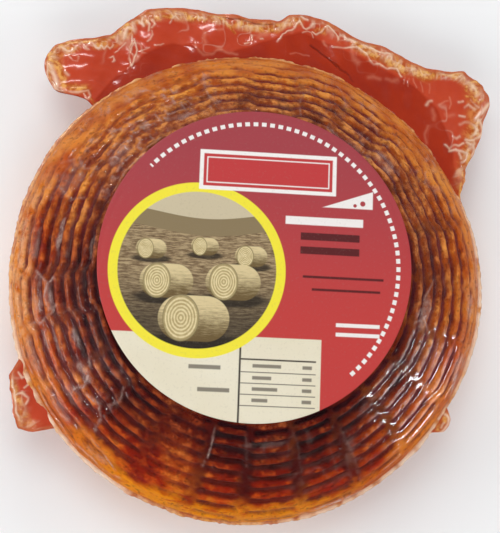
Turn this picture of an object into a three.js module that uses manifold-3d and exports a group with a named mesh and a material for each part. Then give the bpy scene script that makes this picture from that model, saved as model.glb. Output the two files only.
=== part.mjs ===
// A wheel of aged sheep's-milk cheese, moulded in a basket and sealed in a vacuum bag.
//
// Millimetres, +Z up. The origin is on the wheel's axis, on the flat base that it rests on.
// The bag is drawn tight, so wheel and film are one solid: a low drum with a flat top, a
// sloping shoulder ringed by the basket's weavers and crossed by its stakes, a rounded rim,
// and the spare film of the bag, which leaves the side as a thin seam and three crumpled
// flaps. A round paper label lies on the top.
import * as THREE from 'three';
import { mergeVertices } from 'three/addons/utils/BufferGeometryUtils.js';
import Module from 'manifold-3d';

// The wheel
const WHEEL_RADIUS = 105;
const WHEEL_HEIGHT = 62;
const BELT_HEIGHT = 27; // where the wheel is widest
const TOP_RADIUS = 67; // the flat face under the label
const KNEE_RADIUS = 68.5; // where the flat face and the slope would meet
const KNEE_ROUNDING = 1.5;
const SHOULDER_RADIUS = 95; // where the slope turns over into the rim
const SHOULDER_SLOPE = 38; // degrees
const BASE_RADIUS = 95; // the flat face that it rests on
const BASE_ROUNDING = 7;
const OUT_OF_ROUND = 0.8; // the wheel's edge wanders in and out by this

// The marks of the basket: weavers run round, stakes run down. One row for each gap between
// two stakes: the angle of its first stake in degrees, its first groove in mm along the
// section, and the spacing of its grooves. Weavers pass the stakes in front and behind by
// turns, so a groove mostly meets a ridge across a stake.
const GAPS = [
  [-1, 11.5, 6.8], [16, 9, 6.5], [31.5, 12, 6.3], [47, 8.1, 6.25], [62, 11, 6.1], [76, 8, 6.1],
  [90.5, 11, 6], [105, 8, 6], [118.5, 11, 6], [133, 8.3, 6], [148, 7.2, 6.2], [163, 8.7, 5.9],
  [179, 11.2, 6.15], [193.5, 8, 6.1], [208, 8.1, 6], [223, 11.2, 5.25], [239, 8.4, 6],
  [255, 8.1, 6.1], [268, 11.1, 5.95], [283, 8.1, 6.1], [298, 10.5, 6.05], [313, 11.1, 6.65],
  [328, 6.4, 6.9], [343, 12.2, 6.8],
];
const FACETS_PER_GAP = 3; // flat facets from one stake to the next
const STAKE_HALF_WIDTH = 0.14; // of the gap between two stakes
const SECTION_FROM = 63; // the section is measured from here, just under the label's edge
const BANDS = 17; // grooves and ridges from there to the widest line
const FIRST_BAND = 3.5; // no groove or ridge lies nearer the top than this
const EVEN_BAND = 5; // where the first would lie if all gaps were alike, as they are low down
const BAND_DEPTH = 1.7;
const STAKE_DEPTH = 0.9;
const BAND_FADE_FROM = 0.55; // of the way down the shoulder and rim
const BAND_FADE_TO = 0.25; // what is left of the bands at the widest line
const WALL_RINGS = 4; // below the widest line, worn low
const WALL_RING_SHARE = 0.35;

// The spare film
const SEAM_WIDTH = 1.6;
const SEAM_THICKNESS = 1.2;
const FILM_THICKNESS = 2.4; // both layers and the air in their creases, at the wheel
const FILM_EDGE_THICKNESS = 1.4;
const FILM_ROOT = 99; // the flaps start inside the wheel
const FILM_DROOP = 6; // over the widest flap
const CRUMPLE = 2.6;
// How far each flap reaches past the wheel, as [degrees from +X, mm]
const BACK_FLAP = [
  [21, 0.4], [23.5, 2.1], [25.8, 7], [28.2, 10.2], [30, 15.3], [31.6, 19.7], [33.4, 27],
  [35.4, 31.5], [37.2, 40], [40.6, 43.8], [45.4, 40.9], [47.7, 34.7], [50.6, 30], [53.6, 27.1],
  [60, 25.4], [65.4, 22.8], [69.5, 24.5], [77.7, 26], [81.2, 24.2], [83, 20.2], [89.5, 19.9],
  [95.8, 22.6], [104, 28.1], [110, 31.6], [114.9, 28.2], [118.8, 25.9], [121.5, 28.2],
  [124, 33], [126.3, 35.9], [128.2, 34.4], [129.6, 31], [130.6, 26.4], [131.3, 18.5],
];
const LEFT_FLAP = [
  [199, 0.5], [201.9, 6.9], [206, 9.9], [209.9, 12.9], [213, 13.7], [215.4, 9.5], [217.5, 1.4],
  [220, 0.3],
];
const RIGHT_FLAP = [[321.3, 0.5], [323.2, 4.6], [324.8, 5.6], [326.6, 4.7], [328.4, 0.4]];
const LEFT_HORN_FLARE = 3.6; // degrees that the back flap's left end leans outwards
const FLARE_SPAN = 12;

// The label
const LABEL_RADIUS = 66.8;
const LABEL_THICKNESS = 0.8;
const LABEL_OFFSET = [0, 2.6]; // it was put on a little off the axis
const LABEL_GAP = 0.3;
const LABEL_SIDES = 72;

const wasm = await Module();
wasm.setup();

// A repeatable value from -1 to 1 for each whole number.
function scatter(n) {
  const v = Math.sin(n * 127.1 + 11.7) * 43758.5453;
  return 2 * (v - Math.floor(v)) - 1;
}

function toSolid(geometry) {
  const bare = geometry.index ? geometry.toNonIndexed() : geometry.clone();
  bare.deleteAttribute('normal');
  bare.deleteAttribute('uv');
  const merged = mergeVertices(bare, 1e-4);
  return new wasm.Manifold(new wasm.Mesh({
    numProp: 3,
    vertProperties: new Float32Array(merged.attributes.position.array),
    triVerts: new Uint32Array(merged.index.array),
  }));
}

function toGeometry(solid) {
  const mesh = solid.getMesh();
  const geometry = new THREE.BufferGeometry();
  geometry.setAttribute('position', new THREE.BufferAttribute(mesh.vertProperties.slice(), 3));
  geometry.setIndex(new THREE.BufferAttribute(mesh.triVerts.slice(), 1));
  geometry.computeVertexNormals();
  return geometry;
}

// The shoulder and rim in section, down to the widest line.
function shoulderPath() {
  const slope = Math.tan(THREE.MathUtils.degToRad(SHOULDER_SLOPE));
  const shoulderZ = WHEEL_HEIGHT - (SHOULDER_RADIUS - KNEE_RADIUS) * slope;
  const path = new THREE.Path();
  path.moveTo(SECTION_FROM, WHEEL_HEIGHT);
  path.lineTo(TOP_RADIUS, WHEEL_HEIGHT);
  path.quadraticCurveTo(
    KNEE_RADIUS, WHEEL_HEIGHT,
    KNEE_RADIUS + KNEE_ROUNDING, WHEEL_HEIGHT - KNEE_ROUNDING * slope,
  );
  path.lineTo(SHOULDER_RADIUS, shoulderZ);
  path.quadraticCurveTo(
    WHEEL_RADIUS, shoulderZ - (WHEEL_RADIUS - SHOULDER_RADIUS) * slope,
    WHEEL_RADIUS, BELT_HEIGHT,
  );
  return path;
}

// A groove or ridge of one gap: its place in mm along the section, and 1 for a groove.
function bandOf(gap, band, length) {
  const [, groove, pitch] = GAPS[THREE.MathUtils.euclideanModulo(gap, GAPS.length)];
  const half = pitch / 2;
  const first = FIRST_BAND + THREE.MathUtils.euclideanModulo(groove - FIRST_BAND, half);
  const even = EVEN_BAND + (band * (length - EVEN_BAND)) / BANDS;
  const alike = THREE.MathUtils.smoothstep(band / BANDS, BAND_FADE_FROM, 1);
  const place = THREE.MathUtils.lerp(first + band * half, even, alike);
  return [place, (Math.round((first - groove) / half) + band) % 2 === 0 ? 1 : 0];
}

// One section of the wheel, top to bottom, at a stake (step 0) or beside one. Each point has
// its radius, its height and how deep the basket pressed it.
function wheelSection(gap, step) {
  const flat = (r, z) => ({ r, z, sink: 0 });
  const path = shoulderPath();
  const length = path.getLength();
  const section = [
    flat(0, WHEEL_HEIGHT), flat(SECTION_FROM - 2, WHEEL_HEIGHT), flat(SECTION_FROM + 2, WHEEL_HEIGHT),
  ];
  for (let band = 0; band < BANDS; band++) {
    const [place, groove] = bandOf(gap, band, length);
    const along = step ? place : (place + bandOf(gap - 1, band, length)[0]) / 2;
    const point = path.getPointAt(along / length);
    const fade = THREE.MathUtils.smoothstep(along / length, BAND_FADE_FROM, 1);
    const share = THREE.MathUtils.lerp(1, BAND_FADE_TO, fade);
    const uneven = 1 + 0.25 * scatter(gap * 31 + band);
    const sink = share * (step ? groove * BAND_DEPTH * uneven : STAKE_DEPTH);
    section.push({ r: point.x, z: point.y, sink });
  }
  const half = SEAM_THICKNESS / 2;
  section.push(flat(WHEEL_RADIUS, BELT_HEIGHT + half));
  section.push(flat(WHEEL_RADIUS + SEAM_WIDTH, BELT_HEIGHT));
  section.push(flat(WHEEL_RADIUS, BELT_HEIGHT - half));
  const footRadius = BASE_RADIUS + BASE_ROUNDING * 0.7;
  const footHeight = BASE_ROUNDING * 0.6;
  const wall = new THREE.Path();
  wall.moveTo(WHEEL_RADIUS, BELT_HEIGHT - half);
  wall.quadraticCurveTo(WHEEL_RADIUS, BASE_ROUNDING + 4, footRadius, footHeight);
  for (let i = 1; i < WALL_RINGS * 3; i++) {
    const point = wall.getPointAt(i / (WALL_RINGS * 3));
    const wave = 0.5 + 0.5 * Math.cos((2 * Math.PI * i) / 3);
    const sink = WALL_RING_SHARE * (step ? BAND_DEPTH * wave : STAKE_DEPTH);
    section.push({ r: point.x, z: point.y, sink });
  }
  section.push(flat(footRadius, footHeight));
  section.push(flat(BASE_RADIUS + BASE_ROUNDING * 0.45, BASE_ROUNDING * 0.2));
  section.push(flat(BASE_RADIUS, 0));
  section.push(flat(0, 0));
  return section;
}

function wheelSolid() {
  const facets = GAPS.length * FACETS_PER_GAP;
  const outline = wheelSection(0, 0).map((p) => new THREE.Vector2(p.r, p.z));
  const lathe = new THREE.LatheGeometry(outline.reverse(), facets);
  const position = lathe.attributes.position;
  const rows = outline.length;
  for (let i = 0; i <= facets; i++) {
    const facet = i % facets;
    const step = facet % FACETS_PER_GAP;
    const gap = Math.floor(facet / FACETS_PER_GAP);
    const section = wheelSection(gap, step);
    const share = step === 0 ? 0 : STAKE_HALF_WIDTH + (1 - 2 * STAKE_HALF_WIDTH) * (step - 1);
    const next = gap + 1 < GAPS.length ? GAPS[gap + 1][0] : GAPS[0][0] + 360;
    const angle = THREE.MathUtils.degToRad(THREE.MathUtils.lerp(GAPS[gap][0], next, share));
    const swell = OUT_OF_ROUND * (0.6 * Math.sin(3 * angle + 0.8) + 0.4 * Math.sin(5 * angle + 2.1));
    for (let j = 0; j < rows; j++) {
      const point = section[rows - 1 - j];
      const before = section[Math.max(0, rows - 2 - j)];
      const after = section[Math.min(rows - 1, rows - j)];
      const facing = new THREE.Vector2(before.z - after.z, after.r - before.r).normalize();
      const grow = (swell * point.r) / WHEEL_RADIUS;
      const r = point.r ? point.r + grow - facing.x * point.sink : 0;
      const z = point.z - facing.y * point.sink;
      position.setXYZ(i * rows + j, r * Math.cos(angle), r * Math.sin(angle), z);
    }
  }
  return toSolid(lathe);
}

// One flap of spare film: a grid from inside the wheel out to the flap's edge, drooping and
// crumpled, with an upper face, a lower face and a rim.
function flapSolid(reaches, steps, rows, leanFrom) {
  const from = reaches[0][0];
  const to = reaches[reaches.length - 1][0];
  const curve = new THREE.SplineCurve(reaches.map(([a, d]) => new THREE.Vector2(a, d)));
  const samples = curve.getSpacedPoints(steps * 8);
  const reachAt = (degrees) => {
    const k = samples.findIndex((p) => p.x >= degrees);
    if (k <= 0) return samples[k === 0 ? 0 : samples.length - 1].y;
    const [a, b] = [samples[k - 1], samples[k]];
    return THREE.MathUtils.mapLinear(degrees, a.x, b.x, a.y, b.y);
  };
  const points = [];
  for (const side of [1, -1]) {
    for (let i = 0; i <= steps; i++) {
      const degrees = THREE.MathUtils.lerp(from, to, i / steps);
      const edge = WHEEL_RADIUS + reachAt(degrees);
      for (let j = 0; j <= rows; j++) {
        const v = j / rows;
        const r = THREE.MathUtils.lerp(FILM_ROOT, edge, v);
        const out = Math.max(0, r - WHEEL_RADIUS);
        const lean = leanFrom ? LEFT_HORN_FLARE * THREE.MathUtils.smoothstep(degrees, leanFrom, to) : 0;
        const angle = THREE.MathUtils.degToRad(degrees + lean * THREE.MathUtils.smoothstep(out, 4, 20));
        const loose = THREE.MathUtils.smoothstep(out, 0, 10);
        const fold = Math.sin(degrees * 0.41 + r * 0.21) + 0.6 * Math.sin(degrees * 0.93 - r * 0.33 + 1.3);
        const z = BELT_HEIGHT - (FILM_DROOP * out) / 36 + CRUMPLE * loose * fold * 0.62;
        const thick = THREE.MathUtils.lerp(FILM_THICKNESS, FILM_EDGE_THICKNESS, v);
        points.push(r * Math.cos(angle), r * Math.sin(angle), z + (side * thick) / 2);
      }
    }
  }
  const index = [];
  const layer = (steps + 1) * (rows + 1);
  const at = (side, i, j) => side * layer + i * (rows + 1) + j;
  const quad = (a, b, c, d) => index.push(a, b, c, a, c, d);
  for (let i = 0; i < steps; i++) {
    for (let j = 0; j < rows; j++) {
      quad(at(0, i, j), at(0, i, j + 1), at(0, i + 1, j + 1), at(0, i + 1, j));
      quad(at(1, i, j), at(1, i + 1, j), at(1, i + 1, j + 1), at(1, i, j + 1));
    }
    quad(at(0, i, rows), at(1, i, rows), at(1, i + 1, rows), at(0, i + 1, rows));
    quad(at(0, i, 0), at(0, i + 1, 0), at(1, i + 1, 0), at(1, i, 0));
  }
  for (let j = 0; j < rows; j++) {
    quad(at(0, 0, j), at(1, 0, j), at(1, 0, j + 1), at(0, 0, j + 1));
    quad(at(0, steps, j), at(0, steps, j + 1), at(1, steps, j + 1), at(1, steps, j));
  }
  const geometry = new THREE.BufferGeometry();
  geometry.setAttribute('position', new THREE.Float32BufferAttribute(points, 3));
  geometry.setIndex(index);
  return toSolid(geometry);
}

function sealedWheel() {
  return wheelSolid()
    .add(flapSolid(BACK_FLAP, 56, 7, BACK_FLAP.at(-1)[0] - FLARE_SPAN))
    .add(flapSolid(LEFT_FLAP, 12, 4))
    .add(flapSolid(RIGHT_FLAP, 6, 3));
}

const part = new THREE.Group();

const wheel = new THREE.Mesh(
  toGeometry(sealedWheel()),
  new THREE.MeshStandardMaterial({ color: 0x8a3614, roughness: 0.25, metalness: 0 }),
);
wheel.name = 'sealed_wheel';
part.add(wheel);

const disc = new THREE.CylinderGeometry(LABEL_RADIUS, LABEL_RADIUS, LABEL_THICKNESS, LABEL_SIDES);
disc.rotateX(Math.PI / 2);
const label = new THREE.Mesh(
  disc,
  new THREE.MeshStandardMaterial({ color: 0xc43a44, roughness: 0.6, metalness: 0 }),
);
label.name = 'label';
label.position.set(...LABEL_OFFSET, WHEEL_HEIGHT + LABEL_GAP + LABEL_THICKNESS / 2);
part.add(label);

export default part;
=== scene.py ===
# %% [markdown]
# # A vacuum-packed wheel of aged cheese
# The real thing is one wheel of sheep's-milk cheese. It drained in a woven basket, so its
# shoulder carries the basket's marks: rings from the weavers, cut across by the stakes. It was
# oiled while it aged, then sealed in a clear bag. The air was drawn out, so the film lies on
# the ridges, bridges the grooves and leaves crumpled spare film at the back. A round paper
# label is stuck to the film. The lesson builds the rind, the film, the spare film and the
# label as separate meshes, because each has its own shape and its own finish.

# %% Load the frame
import math
from functools import reduce
import bpy
import numpy as np
from mathutils import Matrix, Vector


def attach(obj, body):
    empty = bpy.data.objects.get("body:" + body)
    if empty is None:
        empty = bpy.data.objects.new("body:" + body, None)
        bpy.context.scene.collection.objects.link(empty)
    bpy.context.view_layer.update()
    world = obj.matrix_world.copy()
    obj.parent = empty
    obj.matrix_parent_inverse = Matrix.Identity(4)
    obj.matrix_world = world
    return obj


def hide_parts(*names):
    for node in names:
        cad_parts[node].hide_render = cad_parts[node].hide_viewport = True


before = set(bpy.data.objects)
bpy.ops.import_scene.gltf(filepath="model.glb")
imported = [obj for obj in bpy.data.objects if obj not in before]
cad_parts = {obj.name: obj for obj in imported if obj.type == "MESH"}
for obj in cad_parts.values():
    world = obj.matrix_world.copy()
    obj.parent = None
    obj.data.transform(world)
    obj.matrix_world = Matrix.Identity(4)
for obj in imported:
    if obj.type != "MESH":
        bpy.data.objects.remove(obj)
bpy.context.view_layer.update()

# %% [markdown]
# ## Sizes
# Every size is in millimetres, because that is how such a wheel is measured, and one constant
# turns it into Blender's metres. The sizes repeat those of the solid model, so that the skin
# lies where the solid is.

# %% Sizes of the wheel, the basket's marks, the spare film and the label
MM = 0.001
WHEEL_RADIUS, WHEEL_HEIGHT, BELT_HEIGHT = 105.0, 62.0, 27.0
TOP_RADIUS, KNEE_RADIUS, KNEE_ROUNDING = 67.0, 68.5, 1.5
SHOULDER_RADIUS, SHOULDER_SLOPE = 95.0, math.radians(38)
BASE_RADIUS, BASE_ROUNDING = 95.0, 7.0
SECTION_FROM, BANDS, FIRST_BAND, EVEN_BAND, WALL_RINGS = 63.0, 17, 3.5, 5.0, 4
# for each gap between two stakes: angle of its first stake, its first groove, groove spacing
GAPS = [
    (-1, 11.5, 6.8), (16, 9, 6.5), (31.5, 12, 6.3), (47, 8.1, 6.25), (62, 11, 6.1), (76, 8, 6.1),
    (90.5, 11, 6), (105, 8, 6), (118.5, 11, 6), (133, 8.3, 6), (148, 7.2, 6.2), (163, 8.7, 5.9),
    (179, 11.2, 6.15), (193.5, 8, 6.1), (208, 8.1, 6), (223, 11.2, 5.25), (239, 8.4, 6),
    (255, 8.1, 6.1), (268, 11.1, 5.95), (283, 8.1, 6.1), (298, 10.5, 6.05), (313, 11.1, 6.65),
    (328, 6.4, 6.9), (343, 12.2, 6.8),
]
LABEL_RADIUS, LABEL_CENTRE, LABEL_TURN = 66.8, (0.0, 2.6), math.radians(-2.0)
print("wheel %.0f mm across, %.0f mm high" % (2 * WHEEL_RADIUS, WHEEL_HEIGHT))

# %% [markdown]
# ## Unevenness that repeats exactly
# A hand-made food is uneven at every scale, but a script has to give the same wheel each time.
# Lattice noise does both: each point of a 3-D grid has a fixed pseudo-random value, worked out
# from its whole-number place, and the value between them is blended smoothly.

# %% Noise and blending helpers
def lattice(ix, iy, iz, seed):
    n = (ix * 374761393 + iy * 668265263 + iz * 2147483647 + seed * 974634777) & 0xFFFFFFFF
    n = ((n ^ (n >> 13)) * 1274126177) & 0xFFFFFFFF
    return ((n ^ (n >> 16)) & 0xFFFF) / 32767.5 - 1.0


def wander(x, y, z, size, seed=0):
    """Smooth noise from -1 to 1 that changes over about size."""
    p = [np.asarray(c, float) / size + 57.3 for c in (x, y, z)]
    cell = [np.floor(c).astype(np.int64) for c in p]
    t = [c - b for c, b in zip(p, cell)]
    t = [c * c * c * (c * (c * 6 - 15) + 10) for c in t]
    total = 0.0
    for dx in (0, 1):
        for dy in (0, 1):
            for dz in (0, 1):
                share = (t[0] if dx else 1 - t[0]) * (t[1] if dy else 1 - t[1])
                share = share * (t[2] if dz else 1 - t[2])
                total = total + share * lattice(cell[0] + dx, cell[1] + dy, cell[2] + dz, seed)
    return total


def scatter(a, b, seed=0):
    """A fixed value from -1 to 1 for each pair of whole numbers."""
    return lattice(np.asarray(a, np.int64) * 3 + 11, np.asarray(b, np.int64) * 5 + 7, 3, seed)


def ease(x, low, high):
    t = np.clip((x - low) / (high - low), 0, 1)
    return t * t * (3 - 2 * t)


def creases(x, y, z, size, seed, thin=0.12):
    """Sharp folds: 1 along thin wandering lines, 0 away from them."""
    return np.exp(-((wander(x, y, z, size, seed) / thin) ** 2))


def stroke(x, y, points, width):
    """1 along a line through the points, fading out over width."""
    nearest = np.full(np.shape(x), 1e9)
    for (ax, ay), (bx, by) in zip(points, points[1:]):
        dx, dy = bx - ax, by - ay
        t = np.clip(((x - ax) * dx + (y - ay) * dy) / (dx * dx + dy * dy), 0, 1)
        nearest = np.minimum(nearest, (x - ax - t * dx) ** 2 + (y - ay - t * dy) ** 2)
    return np.exp(-nearest / width**2)


print("noise at one place", round(float(wander(1.0, 2.0, 3.0, 5.0)), 4))

# %% [markdown]
# ## The section of the wheel
# Everything on the wheel is placed by two numbers: how far round it is, and how far along its
# section, measured from the first ring outwards and down. The section is one smooth line: flat
# face, knee, straight shoulder, rounded rim, wall and base.

# %% Section of the wheel by length along it
def arc(start, corner, end, n):
    t = np.linspace(0, 1, n)[:, None]
    start, corner, end = map(np.array, (start, corner, end))
    return (1 - t) ** 2 * start + 2 * t * (1 - t) * corner + t * t * end


def wheel_section():
    fall = math.tan(SHOULDER_SLOPE)
    knee_end = (KNEE_RADIUS + KNEE_ROUNDING, WHEEL_HEIGHT - KNEE_ROUNDING * fall)
    edge = (SHOULDER_RADIUS, WHEEL_HEIGHT - (SHOULDER_RADIUS - KNEE_RADIUS) * fall)
    corner = (WHEEL_RADIUS, edge[1] - (WHEEL_RADIUS - SHOULDER_RADIUS) * fall)
    foot = (BASE_RADIUS + BASE_ROUNDING * 0.7, BASE_ROUNDING * 0.6)
    parts = [
        np.array([(SECTION_FROM, WHEEL_HEIGHT), (TOP_RADIUS, WHEEL_HEIGHT)]),
        arc((TOP_RADIUS, WHEEL_HEIGHT), (KNEE_RADIUS, WHEEL_HEIGHT), knee_end, 20),
        arc(edge, corner, (WHEEL_RADIUS, BELT_HEIGHT), 80),
        arc((WHEEL_RADIUS, BELT_HEIGHT), (WHEEL_RADIUS, BASE_ROUNDING + 4), foot, 60),
        arc(foot, (BASE_RADIUS + BASE_ROUNDING * 0.35, 0), (BASE_RADIUS, 0), 20),
    ]
    line = np.concatenate(parts)
    line = line[np.r_[True, np.hypot(*np.diff(line, axis=0).T) > 1e-6]]
    along = np.r_[0, np.cumsum(np.hypot(*np.diff(line, axis=0).T))]
    belt = along[np.argmin(np.abs(line[:, 1] - BELT_HEIGHT) + np.abs(line[:, 0] - WHEEL_RADIUS))]
    foot_at = along[np.argmin(np.hypot(line[:, 0] - foot[0], line[:, 1] - foot[1]))]
    return line, along, belt, foot_at


SECTION, ALONG, BELT_AT, FOOT_AT = wheel_section()
print("widest line at %.1f mm, foot at %.1f mm" % (BELT_AT, FOOT_AT))


def section_at(s):
    """Radius, height and outward direction of the smooth section at each length s."""
    r = np.where(s < 0, SECTION_FROM + s, np.interp(s, ALONG, SECTION[:, 0]))
    over = np.maximum(s - ALONG[-1], 0)
    r = r - over
    z = np.interp(s, ALONG, SECTION[:, 1])
    step = 0.35
    ra, rb = np.interp([s - step, s + step], ALONG, SECTION[:, 0])
    za, zb = np.interp([s - step, s + step], ALONG, SECTION[:, 1])
    out, up = za - zb, rb - ra
    up = np.where(s < 0.4, 1.0, np.where(over > 0, -1.0, up))
    out = np.where((s < 0.4) | (over > 0), 0.0, out)
    size = np.hypot(out, up) + 1e-12
    return r, z, out / size, up / size


# %% [markdown]
# ## The basket's marks
# The weavers left grooves that run round, and the cheese swelled between them into ridges.
# Weavers pass the stakes in front and behind by turns, so a ridge in one gap meets a groove in
# the next, across a low rib that the stake left. Both bend towards each other as they near it,
# because the weavers did. Handling and ageing wore the marks unevenly. Noise alone would lose
# that order, so the marks come from the two numbers of a place, and noise only disturbs them.

# %% Height and masks of the basket's marks
STAKE_AT = np.array([g[0] for g in GAPS] + [GAPS[0][0] + 360.0])


def bands_of(gap):
    """Places of a gap's grooves and ridges along the section, and whether band 0 is a groove."""
    groove, half = GAPS[gap][1], GAPS[gap][2] / 2
    first = FIRST_BAND + (groove - FIRST_BAND) % half
    band = np.arange(-2, BANDS + 1)
    even = EVEN_BAND + band * (BELT_AT - EVEN_BAND) / BANDS
    place = first + band * half
    place = place + (even - place) * ease(band / BANDS, 0.55, 1)
    return band, place, round((first - groove) / half) % 2


def around(degrees, stops):
    """A value that changes smoothly round the wheel, from (degrees, value) stops."""
    at, value = np.array(stops, float).T
    at, value = np.r_[at[-1] - 360, at, at[0] + 360], np.r_[value[-1], value, value[0]]
    return np.interp(degrees % 360, at, value)


# each table is (degrees, value) round the wheel; the first is how deep the marks are
RELIEF = [
    (0, 0.9), (25, 0.8), (40, 0.5), (56, 0.85), (85, 0.65), (104, 0.35), (144, 0.35), (160, 0.75),
    (180, 1.05), (215, 0.95), (232, 0.7), (242, 0.35), (250, 0.35), (258, 1.0), (300, 1.0),
    (345, 0.95),
]
# how wide the grooves are, and how far they stray from their course
OPEN = [
    (0, 0.2), (30, 0.1), (60, 0.2), (90, 0.2), (130, 0.2), (160, 0.6), (180, 0.8), (220, 0.8),
    (260, 0.9), (300, 0.9), (325, 0.6), (345, 0.35),
]
STRAY = [
    (0, 1.5), (30, 2.2), (60, 2.0), (90, 1.8), (130, 2.6), (160, 1.4), (180, 0.9), (215, 1.2),
    (245, 1.4), (258, 0.7), (300, 0.6), (330, 0.8),
]
# how plainly the stakes left ribs between the gaps
RIB = [
    (0, 0.35), (60, 0.3), (130, 0.25), (180, 0.4), (215, 0.5), (240, 0.6), (255, 0.9), (300, 0.9),
    (325, 0.8), (345, 0.5),
]
# where less painted highlight goes on the ridges' crests
CREST_HIGHLIGHT_CUT = [(0, 0.35), (20, 0.15), (60, 0.0), (250, 0.1), (290, 1.0), (325, 1.0), (345, 0.5)]
# how far along the section, in mm, the amber rim begins
RIM_FROM = [
    (0, 39), (20, 36), (36, 30), (50, 35), (80, 38), (110, 36), (135, 37), (150, 36), (170, 42),
    (186, 37), (205, 36), (222, 40), (240, 43), (270, 43), (285, 46), (300, 44), (316, 42),
    (330, 29), (342, 33),
]


def basket_marks(s, angle, x, y, z):
    degrees = (np.degrees(angle) - GAPS[0][0]) % 360 + GAPS[0][0]
    gap = np.clip(np.searchsorted(STAKE_AT, degrees, side="right") - 1, 0, len(GAPS) - 1)
    rib = np.minimum(degrees - STAKE_AT[gap], STAKE_AT[gap + 1] - degrees)
    nearer = np.where(degrees - STAKE_AT[gap] < STAKE_AT[gap + 1] - degrees, -1, 1)
    beyond = (gap + nearer) % len(GAPS)
    jog = 0.5 * (1 - ease(rib, 0.0, 1.9))
    rib = rib + 0.5 * wander(x, y, z, 4.0, 9) + 0.3 * wander(x, y, z, 1.8, 10)
    open_gap = 1 - around(degrees, RIB) * (1 - ease(rib, 0.3, 2.3))
    stray = around(degrees, STRAY)
    steady = s + stray * (0.50 * wander(x, y, z, 16, 3) + 0.26 * wander(x, y, z, 5, 4))
    band = np.zeros(np.shape(s))
    for k in range(len(GAPS)):
        bands, places, groove_first = bands_of(k)
        share_here = np.where(gap == k, 1 - jog, 0) + np.where(beyond == k, jog, 0)
        here = share_here > 0
        band[here] += share_here[here] * (np.interp(steady[here], places, bands) + groove_first)
    low = BANDS + (s - BELT_AT) / (FOOT_AT - BELT_AT) * WALL_RINGS * 2
    band = np.where(s < BELT_AT, band, low)
    wave = 0.5 + 0.5 * np.cos(np.pi * band)
    uneven = 1 + 0.3 * scatter(gap, np.round(band), 7)
    strong = 0.5 + 0.5 * scatter(gap, np.round(band / 2), 8)
    share = 1 - 0.75 * ease(s / BELT_AT, 0.52, 0.95)
    share = np.where(s < BELT_AT, share, 0.25) * around(degrees, RELIEF)
    share = share * ease(s, 0.6, 3.0) * (1 - ease(s, FOOT_AT - 1, FOOT_AT + 1))
    closed = 1 - around(degrees, OPEN)
    worn = ease(wander(x, y, z, 9, 12) + 0.35 * stray, 0.75, 1.5)
    edge = wave + 0.10 * wander(x, y, z, 2.6, 11) - 0.20 * worn
    groove = ease(edge, 0.20 + 0.26 * closed, 0.90 + 0.08 * closed)
    depth = 1.95 * share * uneven
    ridge_drop = 0.22 * share * wave
    height = -(depth * groove + ridge_drop) * open_gap - 0.95 * share * (1 - open_gap)
    # painted highlight on the top of each ridge, weaker where the marks are worn
    crest_highlight = (1 - ease(wave, 0.0, 0.60)) * open_gap * (0.4 + 0.6 * strong) * (1 - 0.6 * worn)
    # the groove mask tells the finish where to paint shade, the crest mask where to paint a
    # highlight on top of each ridge
    return {
        "degrees": degrees,
        "height": height,
        "groove": groove * open_gap * np.minimum(share * 1.25, 1),
        "rib": (1 - ease(rib, 1.3, 3.0)) * np.minimum(share * 1.1, 1) * around(degrees, RIB),
        "crest_highlight": crest_highlight - around(degrees, CREST_HIGHLIGHT_CUT),
        "share": share,
    }


# %% [markdown]
# ## A skin from rows and columns
# Rind and film are both closed skins round the same wheel, so one helper builds them from a
# grid of rows (along the section) and columns (round the wheel). It is plain mesh data, which
# is quick and gives clean quads, with a single point at each pole.

# %% Build a closed skin mesh with masks on its points
def named_mesh(name, points, faces, masks=None, material=None):
    mesh = bpy.data.meshes.new(name)
    mesh.from_pydata([tuple(p) for p in points], [], faces)
    for key, values in (masks or {}).items():
        layer = mesh.attributes.new(key, "FLOAT", "POINT")
        layer.data.foreach_set("value", np.asarray(values, np.float32).ravel())
    mesh.polygons.foreach_set("use_smooth", [True] * len(mesh.polygons))
    piece = bpy.data.objects.new(name, mesh)
    bpy.context.collection.objects.link(piece)
    if material:
        mesh.materials.append(material)
    print(name, len(mesh.vertices), "points", len(mesh.polygons), "faces")
    return piece


def skin_rows(fine, wall):
    """Lengths along the section for the rows, from beside the top's pole to the base's."""
    top = [-55, -35, -15, -6, -2, -0.5]
    shoulder = np.arange(0.2, BELT_AT, fine)
    side = np.arange(BELT_AT, FOOT_AT, wall)
    low = np.linspace(FOOT_AT, ALONG[-1], 7)
    base = ALONG[-1] + np.array([3, 20, 50, 80])
    return np.concatenate([top, shoulder, side, low, base])


def swell_at(angle):
    """How far the wheel swells out of round, in mm at its widest line."""
    return 0.8 * (0.6 * np.sin(3 * angle + 0.8) + 0.4 * np.sin(5 * angle + 2.1))


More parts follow.
